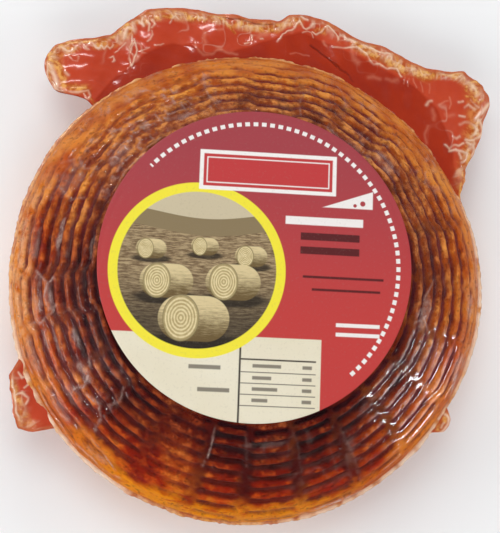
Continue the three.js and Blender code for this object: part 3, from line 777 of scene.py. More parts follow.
# pale folds carry painted highlights, soft folds painted soft highlights, dark folds painted shade
# in their valleys; gold folds are the oil's own amber
# kind of fold, width in mm, strength, and its line in mm from the wheel's axis
BACK_FOLDS = [
    ("pale", 1.9, 1.0, [(-89.6, 99.3), (-88.1, 95.3), (-86.6, 91.4), (-87, 89)]),
    ("pale", 0.7, 0.8, [(-91, 101.2), (-91.3, 96.3), (-90.7, 91.4), (-89.2, 88), (-86.5, 87.5),
      (-84.8, 89)]),
    ("gold", 3.4, 1.0, [(-90.2, 106.2), (-88.8, 103.7), (-86.9, 100.7), (-85.4, 97.3),
      (-84.4, 93.4), (-83.4, 89.9), (-79.8, 88.5), (-73.9, 87.5)]),
    ("gold", 1.6, 0.9, [(-89.3, 107.2), (-86.7, 109.1), (-83.1, 110.6), (-78.5, 111.2),
      (-72.1, 111.2), (-66.2, 111.7), (-62.2, 113.2), (-58.6, 116.8), (-55.4, 120.4)]),
    ("pale", 0.6, 0.9, [(-85.3, 109.1), (-83.4, 107.7), (-81.6, 106.7), (-79.3, 107.7),
      (-77.6, 109.2), (-75.8, 111.2), (-73.9, 108.2), (-73, 107.2)]),
    ("pale", 0.6, 0.8, [(-71.2, 110.2), (-69.4, 108.2), (-68, 107.2), (-67.1, 108.7),
      (-65.7, 107.2), (-64.4, 109.2), (-63, 107.7), (-61.6, 109.7)]),
    ("pale", 0.5, 0.6, [(-81.5, 104.7), (-79.7, 102.2), (-77.4, 101.7), (-77, 104.2),
      (-78.8, 105.7), (-81.1, 105.7)]),
    ("pale", 1.1, 0.8, [(-83.1, 96.3), (-81.8, 94.8)]),
    ("pale", 0.7, 0.7, [(-84.3, 87.5), (-80.6, 86.5), (-77, 86), (-74.3, 86.5), (-72.5, 87),
      (-71.6, 84.6), (-72.5, 83.1), (-74.3, 85.5)]),
    ("gold", 1.0, 0.8, [(-71.6, 83.6), (-69.7, 81.2), (-69.2, 78.7)]),
    ("pale", 0.7, 0.8, [(-62.9, 103.7), (-61.6, 104.7), (-60.6, 102.3), (-61.5, 101.8)]),
    ("pale", 0.5, 0.6, [(-55.7, 111.3), (-57.5, 109.3), (-58.9, 107.3), (-60.7, 106.2)]),
    ("pale", 1.1, 1.0, [(-56.7, 113.3), (-56.3, 115.8), (-55.4, 118.4), (-54, 118.9),
      (-52.6, 118.4), (-52.2, 116.9)]),
    ("pale", 0.6, 1.0, [(-53.1, 115.3), (-53, 111.3), (-53.9, 109.3), (-53.9, 106.3),
      (-54.3, 103.3), (-53.3, 100.3), (-52.9, 99.3), (-52, 102.3), (-51.1, 105.3), (-50.7, 107.3),
      (-51.2, 110.3), (-52.1, 113.3)]),
    ("pale", 0.6, 0.8, [(-52.1, 111.3), (-53, 109.3), (-53.9, 105.3)]),
    ("pale", 0.7, 0.8, [(-48.1, 124.5), (-48.5, 122), (-47.6, 119.5)]),
    ("pale", 0.8, 0.9, [(-46.2, 122), (-44.9, 120.5), (-45.3, 117)]),
    ("pale", 0.8, 0.9, [(-44, 122.6), (-42.6, 120.6), (-43.9, 118.5)]),
    ("gold", 1.5, 0.8, [(-42.6, 123.1), (-40.3, 123.2), (-38, 124.2), (-35.7, 123.8),
      (-32.9, 124.8), (-30.6, 125.4), (-28.3, 125.5), (-25.5, 123.5)]),
    ("pale", 0.6, 0.7, [(-35.7, 120.7), (-34.8, 122.8), (-33.4, 124.3), (-32, 123.3)]),
    ("pale", 0.6, 0.6, [(-43.9, 117), (-43.5, 115), (-44.8, 112.4), (-46.2, 111.4)]),
    ("pale", 0.6, 0.5, [(-49.8, 106.8), (-47.5, 107.4), (-45.2, 108.4)]),
    ("pale", 0.6, 0.5, [(-42.5, 109.9), (-40.2, 109.5), (-38.4, 110.5)]),
    ("gold", 0.8, 0.9, [(-29.2, 126), (-27.9, 123.9), (-26.5, 123), (-23.7, 124.1),
      (-22.8, 125.1), (-21.9, 123.1), (-20.9, 124.6), (-20, 122.6), (-18.6, 123.2),
      (-17.7, 125.2)]),
    ("gold", 1.0, 0.8, [(-15.8, 125.3), (-13.5, 124.4), (-11.2, 123.4), (-9.8, 121.4),
      (-8, 119.9), (-5.7, 117.4)]),
    ("dark", 0.6, 0.8, [(-11.2, 124.9), (-8, 124), (-3.3, 123.7), (2.3, 122.9), (6.9, 122),
      (13, 121.8)]),
    ("gold", 1.1, 0.8, [(-3.3, 122.1), (-2.4, 120.6), (0.4, 120.7), (3.2, 121.4), (5.5, 120.4),
      (8.8, 120.6), (11.5, 118.6)]),
    ("soft", 1.2, 0.7, [(-24.2, 111.8), (-23.8, 109.8), (-22.4, 107.3), (-20.6, 105.9),
      (-18.3, 105.4), (-16, 106.5), (-13.7, 108.1), (-11.4, 108.1), (-8.2, 106.7),
      (-4.9, 106.3)]),
    ("soft", 1.6, 0.7, [(-19.6, 117), (-20.1, 113.9), (-19.6, 111.4)]),
    ("soft", 1.3, 0.7, [(-14, 117.7), (-11.7, 118.3)]),
    ("pale", 0.9, 0.7, [(-1.2, 112), (0.7, 112.6)]),
    ("pale", 0.7, 0.6, [(1.7, 116.2), (2.1, 113.6)]),
    ("soft", 2.2, 0.8, [(5.4, 114.8), (6.8, 116.9), (9.1, 117)]),
    ("pale", 0.8, 0.7, [(6.3, 113.8), (7.2, 114.4)]),
    ("pale", 0.7, 1.0, [(13.7, 113.1), (15.2, 114.7), (16.6, 116.8), (18.5, 118.4), (20.4, 119),
      (21.9, 120.1), (22.9, 122.2), (24.3, 123.9), (25.2, 121.8), (26.1, 120.3), (27.5, 119.9),
      (29, 121), (30.9, 122.6)]),
    ("soft", 1.4, 1.0, [(14.8, 118.8), (16.3, 120.9), (18.6, 122)]),
    ("pale", 1.0, 0.9, [(25.4, 126.5), (26.7, 125), (28.1, 124.6)]),
    ("pale", 0.5, 0.6, [(26, 117.8), (28, 118.9), (29.8, 118.5), (30.7, 116.5)]),
    ("pale", 0.7, 1.0, [(30.3, 119), (32.2, 118.1), (34.6, 119.2), (36.1, 120.9), (38, 122),
      (39.9, 120.6), (41.7, 118.6), (43, 116.1)]),
    ("soft", 1.2, 0.9, [(35.9, 114.7), (37.2, 112.7)]),
    ("dark", 0.8, 0.8, [(29.6, 112.2), (32.9, 110), (36.1, 106.7), (38.8, 104.9), (41.6, 102.0)]),
    ("dark", 0.7, 0.6, [(40.2, 104.2), (43.3, 100.6), (46.8, 98.4), (49.0, 95.2)]),
    ("soft", 0.7, 0.6, [(20.1, 107.3), (23, 108.4), (25.7, 107.6), (28.5, 106.7)]),
    ("pale", 1.3, 1.0, [(45.5, 117.8), (46.9, 116.3), (48.3, 116.4), (50.1, 115)]),
    ("pale", 0.8, 1.0, [(40.5, 111.9), (43.3, 111.5), (49.1, 111.9), (51.4, 111.5), (53.3, 110.1),
      (55.2, 109.2), (56.5, 107.2), (57.4, 105.8), (59.3, 104.4), (61.7, 104.5), (63.6, 103.6),
      (65.5, 102.7), (70.3, 103), (71.2, 101.6), (72.5, 99.1)]),
    ("pale", 0.9, 1.0, [(54.4, 113.2), (56.7, 112.3), (59.1, 111.5), (61, 110.6), (62.9, 109.7),
      (64.8, 109.3), (68.2, 110)]),
    ("gold", 3.4, 1.0, [(51, 112.5), (56.6, 109.3), (62.3, 107.1), (67, 105.4), (70.8, 103.6),
      (74.6, 101.8)]),
    ("gold", 3.2, 1.0, [(77.5, 101.5), (81.3, 99.7), (85.2, 99)]),
    ("gold", 1.4, 0.8, [(74.2, 103.3), (81.4, 102.2), (87.7, 101.2), (93.6, 101.1),
      (100.1, 101.5), (102.9, 99.2)]),
    ("soft", 2.2, 0.6, [(49, 109.3), (49.8, 106.3), (51.6, 104.4)]),
    ("soft", 2.0, 0.6, [(56.6, 97.6), (59, 98.2), (61.9, 97.3)]),
    ("soft", 1.8, 0.5, [(65.2, 97.2), (67.6, 96.2), (70.5, 97.5)]),
    ("soft", 0.6, 0.7, [(74, 98.7), (73.3, 95.7)]),
    ("soft", 0.6, 0.7, [(75.9, 98.3), (75.2, 94.3)]),
    ("soft", 0.7, 0.8, [(77.8, 98), (79, 93.5)]),
    ("soft", 0.6, 0.7, [(81.6, 96.7), (81.9, 91.7)]),
    ("soft", 0.6, 0.6, [(86, 96), (85.3, 91.4)]),
    ("gold", 1.3, 1.0, [(103.6, 93.7), (104.8, 96.8), (106.9, 99), (109.4, 99.1), (110.8, 97.2)]),
    ("gold", 1.1, 1.0, [(103.4, 90.7), (105.9, 90.8), (107.8, 90), (109.2, 88.1), (111.3, 89.2)]),
    ("pale", 0.8, 0.9, [(105.3, 89.3), (107.2, 87.4), (109.1, 85.5)]),
    ("pale", 1.0, 1.0, [(102.1, 85.1), (104.2, 86.7), (106.1, 85.8), (107.6, 84.9)]),
    ("pale", 0.9, 0.9, [(99.3, 87.4), (101.3, 88)]),
    ("pale", 0.8, 0.9, [(99.4, 80.9), (102.4, 80.6)]),
    ("pale", 1.0, 1.0, [(99.7, 77), (102.2, 78.1), (104.7, 78.3), (107.1, 77), (108, 74.6),
      (106.9, 72.5), (104.8, 70.9)]),
    ("pale", 1.2, 1.0, [(108.7, 79.6), (110.6, 77.2), (110.9, 74.3), (109.3, 71.7), (106.7, 69.6),
      (103.7, 68.9), (101.8, 69.2)]),
    ("pale", 1.5, 1.0, [(107.8, 80), (109.9, 82.6), (112.1, 85.2), (114.2, 87.4), (115.2, 88)]),
    ("pale", 0.9, 1.0, [(91.8, 66.2), (93.7, 64.3), (95.7, 65.9), (98.2, 66.1), (100.7, 67.2)]),
    ("pale", 0.9, 1.0, [(93.6, 63.4), (96.6, 64), (99.5, 63.7), (101.9, 62.4), (101.8, 60),
      (99.7, 58.4)]),
    ("pale", 1.0, 0.9, [(98.5, 62.7), (99.3, 60.3)]),
    ("pale", 1.1, 1.0, [(102.2, 67.8), (104.6, 66.5), (105.9, 64.1), (104.8, 61.6)]),
    ("gold", 1.3, 1.0, [(99.7, 56.9), (100, 54.1), (99.4, 50.7), (98.2, 47.2), (98.1, 44.4),
      (98.4, 41), (97.3, 37.7)]),
    ("pale", 0.8, 0.8, [(101.6, 56.6), (101.9, 52.2), (100.6, 45.9), (99.4, 41.1)]),
    ("gold", 6.0, 0.55, [(107, 94), (107.5, 84), (105, 73), (102.5, 63), (99.5, 46)]),
    ("soft", 0.8, 0.9, [(89.9, 85.7), (92.4, 87.4), (94.4, 88)]),
    ("soft", 0.7, 0.9, [(95, 90.1), (95.8, 86.6), (95.2, 84.6)]),
    ("pale", 1.1, 0.7, [(84.0, 85.4), (84.9, 86.8), (86.2, 87.4)]),
    ("soft", 1.8, 0.6, [(86.7, 83.1), (87.6, 80.6), (87.2, 78.6)]),
    ("soft", 1.6, 0.6, [(93.1, 81.6), (94.9, 80.9), (96.8, 81.5)]),
    ("pale", 1.0, 0.7, [(95.9, 70.4), (97.2, 69.4), (98.9, 70.6)]),
    ("soft", 1.3, 0.6, [(84, 75), (82.3, 70.9), (83.1, 66.6)]),
]
LEFT_FOLDS = [
    ("pale", 0.8, 1.0, [(-99.9, -40.6), (-98.5, -43.2), (-96, -42.4), (-95, -45.4),
      (-97.6, -47.5)]),
    ("pale", 0.9, 1.0, [(-101, -50.6), (-98.4, -49.7), (-95.3, -51.9), (-96.6, -54.4)]),
    ("gold", 2.4, 0.9, [(-103.2, -44.5), (-101.2, -48.5), (-99.8, -53.5)]),
    ("pale", 0.8, 0.9, [(-102.8, -44.0), (-101.9, -48.2), (-101.4, -52.7), (-100.8, -57.2),
      (-99.4, -61.0)]),
    ("soft", 1.6, 0.7, [(-97.5, -60.5), (-94.5, -62.5)]),
]
RIGHT_FOLDS = [
    ("gold", 2.6, 1.0, [(85.5, -64), (87.5, -62), (89, -59)]),
    ("pale", 1.0, 1.0, [(86.2, -66.5), (88.6, -64.2), (90.4, -61.6), (90.6, -59.2), (88.8, -58.0)]),
    ("pale", 0.8, 0.9, [(86.8, -63.6), (88.2, -61.6)]),
]
print(len(BACK_FOLDS) + len(LEFT_FOLDS) + len(RIGHT_FOLDS), "folds placed by hand")

# %% Grids of the flaps
FOLD_HEIGHT = {"pale": 0.55, "gold": 0.45, "soft": 0.25, "dark": -0.9}


def flap_reach(points, degrees):
    """Reach at each angle, rounded between the points of the outline."""
    a, d = np.array(points).T
    fine = np.linspace(a[0], a[-1], 900)
    kernel = np.hanning(13) / np.hanning(13).sum()
    reach = np.convolve(np.pad(np.interp(fine, a, d), 6, "edge"), kernel, "valid")
    return np.interp(degrees, fine, reach)


def flap_places(points, pitch, rows, seed, flare):
    first, last = points[0][0], points[-1][0]
    columns = int((last - first) * math.pi / 180 * FLAP_MIDDLE / pitch)
    degrees, v = np.meshgrid(
        np.linspace(first, last, columns), np.linspace(0, 1, rows), indexing="ij")
    reach = flap_reach(points, degrees)
    flat_x, flat_y = (wave(np.radians(degrees)) * FLAP_NOISE_AT for wave in (np.cos, np.sin))
    ragged = 0.35 + 1.15 * ease(-degrees, -52, -38) if flare else 0.6
    scallop = 0.8 * wander(flat_x, flat_y, 0, 4.0, seed)
    scallop = (scallop + 0.35 * wander(flat_x, flat_y, 0, 1.7, seed + 1)) * ragged
    r = FILM_ROOT + (WHEEL_RADIUS + reach + scallop * ease(reach, 1, 6) - FILM_ROOT) * v
    out = np.maximum(r - WHEEL_RADIUS, 0)
    lean = 0
    if flare:
        lean = LEFT_HORN_FLARE * ease(degrees, last - FLARE_SPAN, last) * ease(out, 4, 20)
    angle = np.radians(degrees + lean)
    x, y = r * np.cos(angle), r * np.sin(angle)
    loose = ease(out, 0, 10)
    fold = np.sin(degrees * 0.41 + r * 0.21) + 0.6 * np.sin(degrees * 0.93 - r * 0.33 + 1.3)
    middle = BELT_HEIGHT - FILM_DROOP * out / 36 + 0.55 * CRUMPLE * loose * fold * 0.62
    return degrees, v, reach, out, x, y, middle


def grid_faces(n, m, flip):
    i, j = np.meshgrid(np.arange(n - 1), np.arange(m - 1), indexing="ij")
    corners = (i * m + j, i * m + j + 1, (i + 1) * m + j + 1, (i + 1) * m + j)
    return np.stack(corners[::-1] if flip else corners, -1).reshape(-1, 4)


def flap_top(points, pitch, rows, seed, folds, flare=False):
    """Points, faces and masks of a flap's upper sheet."""
    degrees, v, reach, out, x, y, middle = flap_places(points, pitch, rows, seed, flare)
    found = {kind: 0 * x for kind in FOLD_HEIGHT}
    bent_x = x + 0.35 * wander(x, y, 0, 2.2, seed + 8)
    bent_y = y + 0.35 * wander(x, y, 0, 2.2, seed + 9)
    for kind, width, strength, line in folds:
        found[kind] = np.maximum(found[kind], strength * stroke(bent_x, bent_y, line, width * 0.56))
    broken = ease(wander(x, y, 0, 3.0, seed + 11), -0.75, 0.15)
    found["pale"] = found["pale"] * (0.35 + 0.65 * broken)
    from_edge = (1 - v) * (reach + WHEEL_RADIUS - FILM_ROOT)
    off_weld = from_edge - 4.0 - 1.2 * wander(x, y, 0, 12, seed + 2)
    weld = np.exp(-((off_weld / 1.7) ** 2)) * ease(reach, 9, 16)
    crimp = creases(x, y, 0, 2.4, seed + 5, 0.22) * weld
    along = degrees * 2.2 + 0.8 * wander(x, y, 0, 3, seed + 13)
    pleat = creases(along, from_edge * 0.22, 0 * x, 1.9, seed + 12, 0.20)
    pleat = pleat * np.exp(-(((from_edge - 4.2) / 2.8) ** 4)) * ease(reach, 5, 12)
    pleat = pleat * ease(wander(x, y, 0, 6, seed + 14), -0.55, 0.1)
    free = ease(out, 1, 5) * ease(from_edge, 0.3, 2.0)
    past_flat = out - np.interp(degrees, *np.array(FLAT_TO, float).T)
    flat = 1 - ease(past_flat, -0.8, 0.8) if flare else 0 * out
    small = creases(x, y, 0, 5.5, seed + 4, 0.07) * ease(wander(x, y, 0, 12, seed + 3), -0.1, 0.4)
    small = small * (1 - 0.85 * flat)
    relief = sum(FOLD_HEIGHT[kind] * found[kind] for kind in FOLD_HEIGHT)
    relief = relief + 0.40 * crimp + 0.30 * small + 0.35 * weld + 0.35 * pleat
    relief = relief + 0.22 * wander(x, y, 0, 4.2, seed + 6) * (1 - 0.6 * flat)
    puff = 0.75 - 0.45 * flat + 0.35 * wander(x, y, 0, 9, seed + 7)
    puff = puff * ease(out, 0, 4) * ease(from_edge, 0, 2.5)
    top = middle + 0.25 + puff * 0.7 + relief * free
    patchy = ease(wander(x, y, 0, 6, seed + 10), -0.6, 0.3)
    band = np.exp(-(((from_edge - 4.0) / 3.0) ** 4)) * ease(reach, 9, 16)
    gold = np.clip(found["gold"] + 0.30 * weld * patchy + 0.55 * band * patchy, 0, 1)
    pale = np.clip(found["pale"] + 0.50 * crimp + 0.30 * small * free + 0.50 * pleat, 0, 1)
    masks = {"gold": gold, "pale": pale, "soft": found["soft"], "dark": found["dark"], "flat": flat,
             "outer": 1 - ease(from_edge, 1.5, 5.0)}
    n, m = x.shape
    surface = np.stack([x, y, top], -1).reshape(-1, 3)
    return surface, grid_faces(n, m, False), {k: w.ravel() for k, w in masks.items()}


def spare_masks(count, **given):
    """The masks that every piece of spare film carries; those not given are 0."""
    kinds = ("gold", "pale", "soft", "dark", "flat", "outer")
    return {kind: np.zeros(count) + given.get(kind, 0) for kind in kinds}


def flap_under(points, pitch, rows, seed, flare=False):
    """Points and faces of a flap's lower sheet, which meets the upper one along the edge."""
    _, v, reach, out, x, y, middle = flap_places(points, pitch, rows, seed, flare)
    from_edge = (1 - v) * (reach + WHEEL_RADIUS - FILM_ROOT)
    low = middle - 0.05 - (0.6 + 0.3 * wander(x, y, 5, 8, seed + 7)) * ease(from_edge, 0, 2.5)
    pinch = 0.45 * creases(x, y, 5, 6.0, seed + 6, 0.10)
    low = low - pinch * ease(from_edge, 1, 3) * ease(out, 2, 6)
    low = low + 0.25 * (1 - ease(from_edge, 0, 0.6))
    n, m = x.shape
    surface = np.stack([x, y, low], -1).reshape(-1, 3)
    return surface, grid_faces(n, m, True), spare_masks(n * m, gold=0.1, outer=0.3)


# %% Material of the spare film, with oil between its two sheets
def spare_film_material():
    material, tree = new_material("oily_spare_film")
    cloud, _ = mottle(tree, 55.0, 300.0, 2.4)
    broken = noise(tree, 260.0, 3.0, 0.65)
    red = blend(tree, cloud, "#B83616", "#CA4A2A")
    for name, share, colour in (
            ("outer", 0.75, blend(tree, broken, "#A83A1C", "#D88050")),
            # flat: darker red where the film lies flat by the wheel; the lighter red elsewhere
            # holds a painted sheen of the room
            ("flat", 1.0, blend(tree, cloud, "#9E2405", "#B2320C")),
            # painted shade in the valleys of the dark folds
            ("dark", 0.75, "#6E170A"),
            # painted soft highlights on the soft folds
            ("soft", 0.55, "#E08A6C"),
            ("gold", 0.9, blend(tree, soft(tree, broken, 0.38, 0.62), "#B85C12", "#F0B25C")),
            # painted highlights on the highlight folds, the weld's crimp, the pleats and the seam
            ("pale", 0.8, blend(tree, broken, "#F0B888", "#FFEEDC"))):
        red = blend(tree, times(tree, mask(tree, name), share), red, colour)
    skin = add(tree, "ShaderNodeBsdfPrincipled", {
        "Base Color": red, "Roughness": 0.22, "IOR": 1.30, "Coat Weight": 0.25,
        "Coat Roughness": 0.06, "Normal": bumpy(tree, noise(tree, 420.0, 3.0, 0.6), 0.22, 0.0005)})
    add(tree, "ShaderNodeOutputMaterial", {"Surface": skin.outputs["BSDF"]})
    return material


SPARE_FILM = spare_film_material()

# %% Spare film meshes: upper sheets with the seam all round, and lower sheets
# how strong the painted highlight on the weld is round the wheel; the weld also stands out further
# where it is strong
SEAM_HIGHLIGHT = [
    (2, 0.9), (16, 0.7), (24, 0.2), (130, 0.15), (150, 0.35), (178, 0.3), (190, 0.7), (200, 1.0),
    (236, 1.0), (246, 0.25), (275, 0.2), (284, 0.9), (318, 1.0), (331, 0.5), (345, 0.9),
]


def seam_strip():
    """The weld where no flap hides it: a thin crimped rim round the widest line."""
    columns = 1440
    angle = np.arange(columns) * 2 * np.pi / columns
    shown = around(np.degrees(angle), SEAM_HIGHLIGHT)
    x, y = np.cos(angle) * WHEEL_RADIUS, np.sin(angle) * WHEEL_RADIUS
    crimp = 0.30 * wander(x, y, 0, 1.3, 61) + 0.30 * wander(x, y, 0, 7, 62)
    wave = 0.4 * wander(x, y, 0, 5, 63)
    section = [(-1.2, 0.7), (0.45, 0.25), (0.8, 0.0), (0.45, -0.25), (-1.2, -0.7)]
    rings = []
    for out, up in section:
        r = WHEEL_RADIUS + swell_at(angle) + (out * (1 + 0.8 * shown) + crimp if out > 0 else out)
        rings.append(np.stack([r * np.cos(angle), r * np.sin(angle), BELT_HEIGHT + up + wave], -1))
    k = len(section)
    i, j = np.meshgrid(np.arange(columns), np.arange(k), indexing="ij")
    right, lower = (i + 1) % columns, (j + 1) % k
    faces = np.stack([i * k + j, i * k + lower, right * k + lower, right * k + j], -1)
    # painted highlight on the weld, broken up by noise
    bright = np.repeat(shown * ease(wander(x, y, 0, 3.2, 64), -1.0, 0.1), k)
    masks = spare_masks(columns * k, gold=0.9, pale=1.25 * bright)
    return np.stack(rings, 1).reshape(-1, 3), faces.reshape(-1, 4), masks


def spare_piece(name, parts):
    offsets = np.cumsum([0] + [len(f[0]) for f in parts])
    piece = named_mesh(
        name,
        np.concatenate([f[0] for f in parts]) * MM,
        np.concatenate([f[1] + o for f, o in zip(parts, offsets)]).tolist(),
        {k: np.concatenate([f[2][k] for f in parts]) for k in parts[0][2]},
        SPARE_FILM,
    )
    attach(piece, "root")
    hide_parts("sealed_wheel")


spare_piece("spare_film_upper", [
    flap_top(BACK_FLAP, 0.42, 100, 100, BACK_FOLDS, flare=True),
    flap_top(LEFT_FLAP, 0.42, 40, 140, LEFT_FOLDS),
    flap_top(RIGHT_FLAP, 0.42, 20, 170, RIGHT_FOLDS),
    seam_strip()])
spare_piece("spare_film_lower", [
    flap_under(BACK_FLAP, 0.84, 50, 100, flare=True),
    flap_under(LEFT_FLAP, 0.84, 20, 140),
    flap_under(RIGHT_FLAP, 0.84, 10, 170)])

# %% [markdown]
# ## The label's print
# The label is printed, so its edges between colours are crisp. Shader arithmetic on the
# label's own coordinates keeps them crisp at any distance, which a coloured mesh wouldn't. The
# design is made of plain fields: red ground, a round window with hay bales, a cream panel
# with empty ruled rows, an empty banner and a ring of dashes where print would be.

# %% Shapes for print, drawn with arithmetic
EDGE = 0.004


def label_place(tree):
    """The label's own coordinates: 1 at its edge, and level with its print."""
    place = add(tree, "ShaderNodeSeparateXYZ", {0: object_place(tree)}).outputs
    size = LABEL_RADIUS * MM
    u, v = (times_plus(tree, place[k], 1 / size, -LABEL_CENTRE[k] * MM / size) for k in (0, 1))
    c, t = math.cos(LABEL_TURN), math.sin(LABEL_TURN)
    return times_plus(tree, u, c, times(tree, v, t)), times_plus(tree, v, c, times(tree, u, -t))


def span(tree, value, centre, half):
    """1 where value is within half of centre."""
    away = sums(tree, "ABSOLUTE", minus(tree, value, centre))
    return soft(tree, away, half + EDGE, half - EDGE)


def all_of(tree, *masks):
    return reduce(lambda a, b: times(tree, a, b), masks)


def any_of(tree, *masks):
    return reduce(lambda a, b: sums(tree, "MAXIMUM", a, b), masks)


def bars(tree, u, v, places):
    """1 inside any of the bars, each given by its centre and half its size."""
    return any_of(tree, *[all_of(tree, span(tree, u, at_u, half_u), span(tree, v, at_v, half_v))
                          for at_u, at_v, half_u, half_v in places])


def distance(tree, u, v, centre, stretch=(1.0, 1.0)):
    du = times(tree, minus(tree, u, centre[0]), 1 / stretch[0])
    dv = times(tree, minus(tree, v, centre[1]), 1 / stretch[1])
    return hypot(tree, du, dv)


def half_plane(tree, u, v, a, b, c):
    """1 where a u + b v is over c."""
    side = times_plus(tree, u, a, times(tree, v, b))
    return soft(tree, side, c - EDGE, c + EDGE)


# %% Round hay bales on a stubble field, for the round window
# place of each bale's face, its radius and its length
BALES = [(-0.70, 0.07, 0.066, 0.07), (-0.36, 0.10, 0.060, 0.065), (-0.07, 0.05, 0.070, 0.075),
         (-0.62, -0.13, 0.112, 0.12), (-0.20, -0.12, 0.118, 0.12), (-0.46, -0.36, 0.148, 0.16)]


def hay_field(tree, u, v):
    place = add(tree, "ShaderNodeCombineXYZ", {0: u, 1: v}).outputs[0]
    grain = noise(tree, 30.0, 5.0, 0.7, where=place)
    level = add(tree, "ShaderNodeCombineXYZ", {0: u, 1: times(tree, v, 6.0)}).outputs[0]
    straw = noise(tree, 14.0, 4.0, 0.7, where=level)
    picture = blend(tree, soft(tree, straw, 0.36, 0.66), "#6E573E", "#B59E78")
    hill = minus(tree, v, times(tree, sums(tree, "SINE", times(tree, u, 5.0)), 0.035))
    picture = blend(tree, soft(tree, hill, 0.20, 0.205), picture, "#8C7A5A")
    picture = blend(tree, soft(tree, hill, 0.31, 0.315), picture, "#CDBFA0")
    picture = blend(tree, times(tree, soft(tree, v, 0.0, -0.42), 0.75), picture, "#2C2722")
    for cx, cy, radius, length in BALES:
        ground, size = (cx + length * 0.55, cy - radius * 0.95), (length + radius, radius * 0.45)
        under = soft(tree, distance(tree, u, v, ground, size), 1.1, 0.7)
        picture = blend(tree, times(tree, under, 0.85), picture, "#26201B")
        right, down = minus(tree, u, cx), minus(tree, v, cy)
        near = add(tree, "ShaderNodeClamp", {"Value": right, "Min": 0.0, "Max": length})
        body = hypot(tree, minus(tree, right, near.outputs[0]), down)
        height = times_plus(tree, down, 0.55 / radius, times_plus(tree, straw, 1.2, -0.15))
        side = blend(tree, soft(tree, height, 0.0, 0.9), "#6E5A38", "#DCC898")
        picture = blend(tree, soft(tree, body, radius, radius - 0.008), picture, side)
        face = distance(tree, u, v, (cx, cy), (0.78, 1.0))
        turns = sums(tree, "SINE", times(tree, face, 40.0 / radius))
        wound = soft(tree, times_plus(tree, grain, 4.0, turns), 0.6, 3.4)
        rolled = blend(tree, wound, "#B39C68", "#E6D6A8")
        rolled = blend(tree, soft(tree, face, radius * 0.86, radius), rolled, "#85764F")
        picture = blend(tree, soft(tree, face, radius + EDGE, radius - EDGE), picture, rolled)
    return picture


# %% Material of the label
# centre and half size of the plain bars that stand where print would be
ROWS_AT = (-0.64, -0.715, -0.785, -0.855)
PANEL_RULES = [(-0.08, -0.75, 0.006, 0.26), (0.16, -0.60, 0.24, 0.005)]
PANEL_RULES += [(0.16, v, 0.24, 0.0025) for v in (-0.68, -0.75, -0.82, -0.89)]
PANEL_ROWS = [(w, v, w, 0.011) for v, w in zip(ROWS_AT, (0.09, 0.06, 0.08, 0.05))]
PANEL_ROWS += [(0.345, v, 0.03, 0.011) for v in ROWS_AT]
PANEL_ROWS += [(-0.30, -0.66, 0.10, 0.013), (-0.24, -0.80, 0.10, 0.013)]
WHITE_BARS = [(0.43, 0.30, 0.25, 0.026), (0.66, -0.36, 0.14, 0.012), (0.66, -0.42, 0.14, 0.012)]
DARK_BARS = [(0.47, 0.20, 0.19, 0.024), (0.47, 0.11, 0.19, 0.024),
             (0.56, -0.06, 0.26, 0.008), (0.58, -0.14, 0.22, 0.008)]
# half sizes and colours of the empty banner's frames, from the outside in
BANNER = [(0.44, 0.130, "#F6F1EC"), (0.415, 0.105, "#C23F40"), (0.395, 0.085, "#F6F1EC"),
          (0.388, 0.078, "#C23F40")]
WINDOW_AT, WINDOW_RIM, WINDOW_RADIUS = (-0.37, -0.05), 0.56, 0.50


def label_material():
    material, tree = new_material("printed_paper")
    u, v = label_place(tree)
    cloud, speck = mottle(tree, 30.0, 900.0, 1.2)
    # painted light: the red is duller and greyer towards the top of the label
    colour = blend(tree, soft(tree, v, -0.5, 0.9), "#C4423F", "#A4434A")
    panel = all_of(tree, soft(tree, v, -0.455, -0.463), soft(tree, u, 0.434, 0.426))
    colour = blend(tree, panel, colour, blend(tree, cloud, "#E2D6B8", "#F0E9D4"))
    rules, rows = (all_of(tree, panel, bars(tree, u, v, k)) for k in (PANEL_RULES, PANEL_ROWS))
    colour = blend(tree, rules, colour, "#3A332D")
    colour = blend(tree, times(tree, rows, 0.75), colour, "#4A4038")
    window = distance(tree, u, v, WINDOW_AT)
    for edge, inside in ((WINDOW_RIM, "#F5E640"), (WINDOW_RADIUS, hay_field(tree, u, v))):
        colour = blend(tree, soft(tree, window, edge + EDGE, edge - EDGE), colour, inside)
    for half_u, half_v, shade in BANNER:
        colour = blend(tree, bars(tree, u, v, [(0.06, 0.60, half_u, half_v)]), colour, shade)
    dash = sums(tree, "FRACT", times(tree, sums(tree, "ARCTAN2", v, u), 17.0))
    dots = all_of(tree, span(tree, distance(tree, u, v, (0, 0)), 0.915, 0.013),
                  soft(tree, dash, 0.60, 0.54), half_plane(tree, u, v, 0.70, 0.72, -0.05))
    wedge = all_of(tree, half_plane(tree, u, v, 0, 1, 0.395), half_plane(tree, u, v, -1, 0, -0.74),
                   half_plane(tree, u, v, 0.36, -1, -0.245),
                   soft(tree, distance(tree, u, v, (0.675, 0.43)), 0.014, 0.020),
                   soft(tree, distance(tree, u, v, (0.625, 0.415)), 0.009, 0.014))
    white = any_of(tree, dots, bars(tree, u, v, WHITE_BARS), wedge)
    colour = blend(tree, white, colour, "#F3EDE8")
    colour = blend(tree, times(tree, bars(tree, u, v, DARK_BARS), 0.85), colour, "#3B1A1C")
    colour = blend(tree, times(tree, speck, 0.10), colour, "#8E8378")
    shader = add(tree, "ShaderNodeBsdfPrincipled", {
        "Base Color": colour, "Roughness": 0.5, "IOR": 1.3,
        "Normal": bumpy(tree, noise(tree, 700.0, 2.0), 0.06, 0.0003)})
    add(tree, "ShaderNodeOutputMaterial", {"Surface": shader.outputs["BSDF"]})
    return material


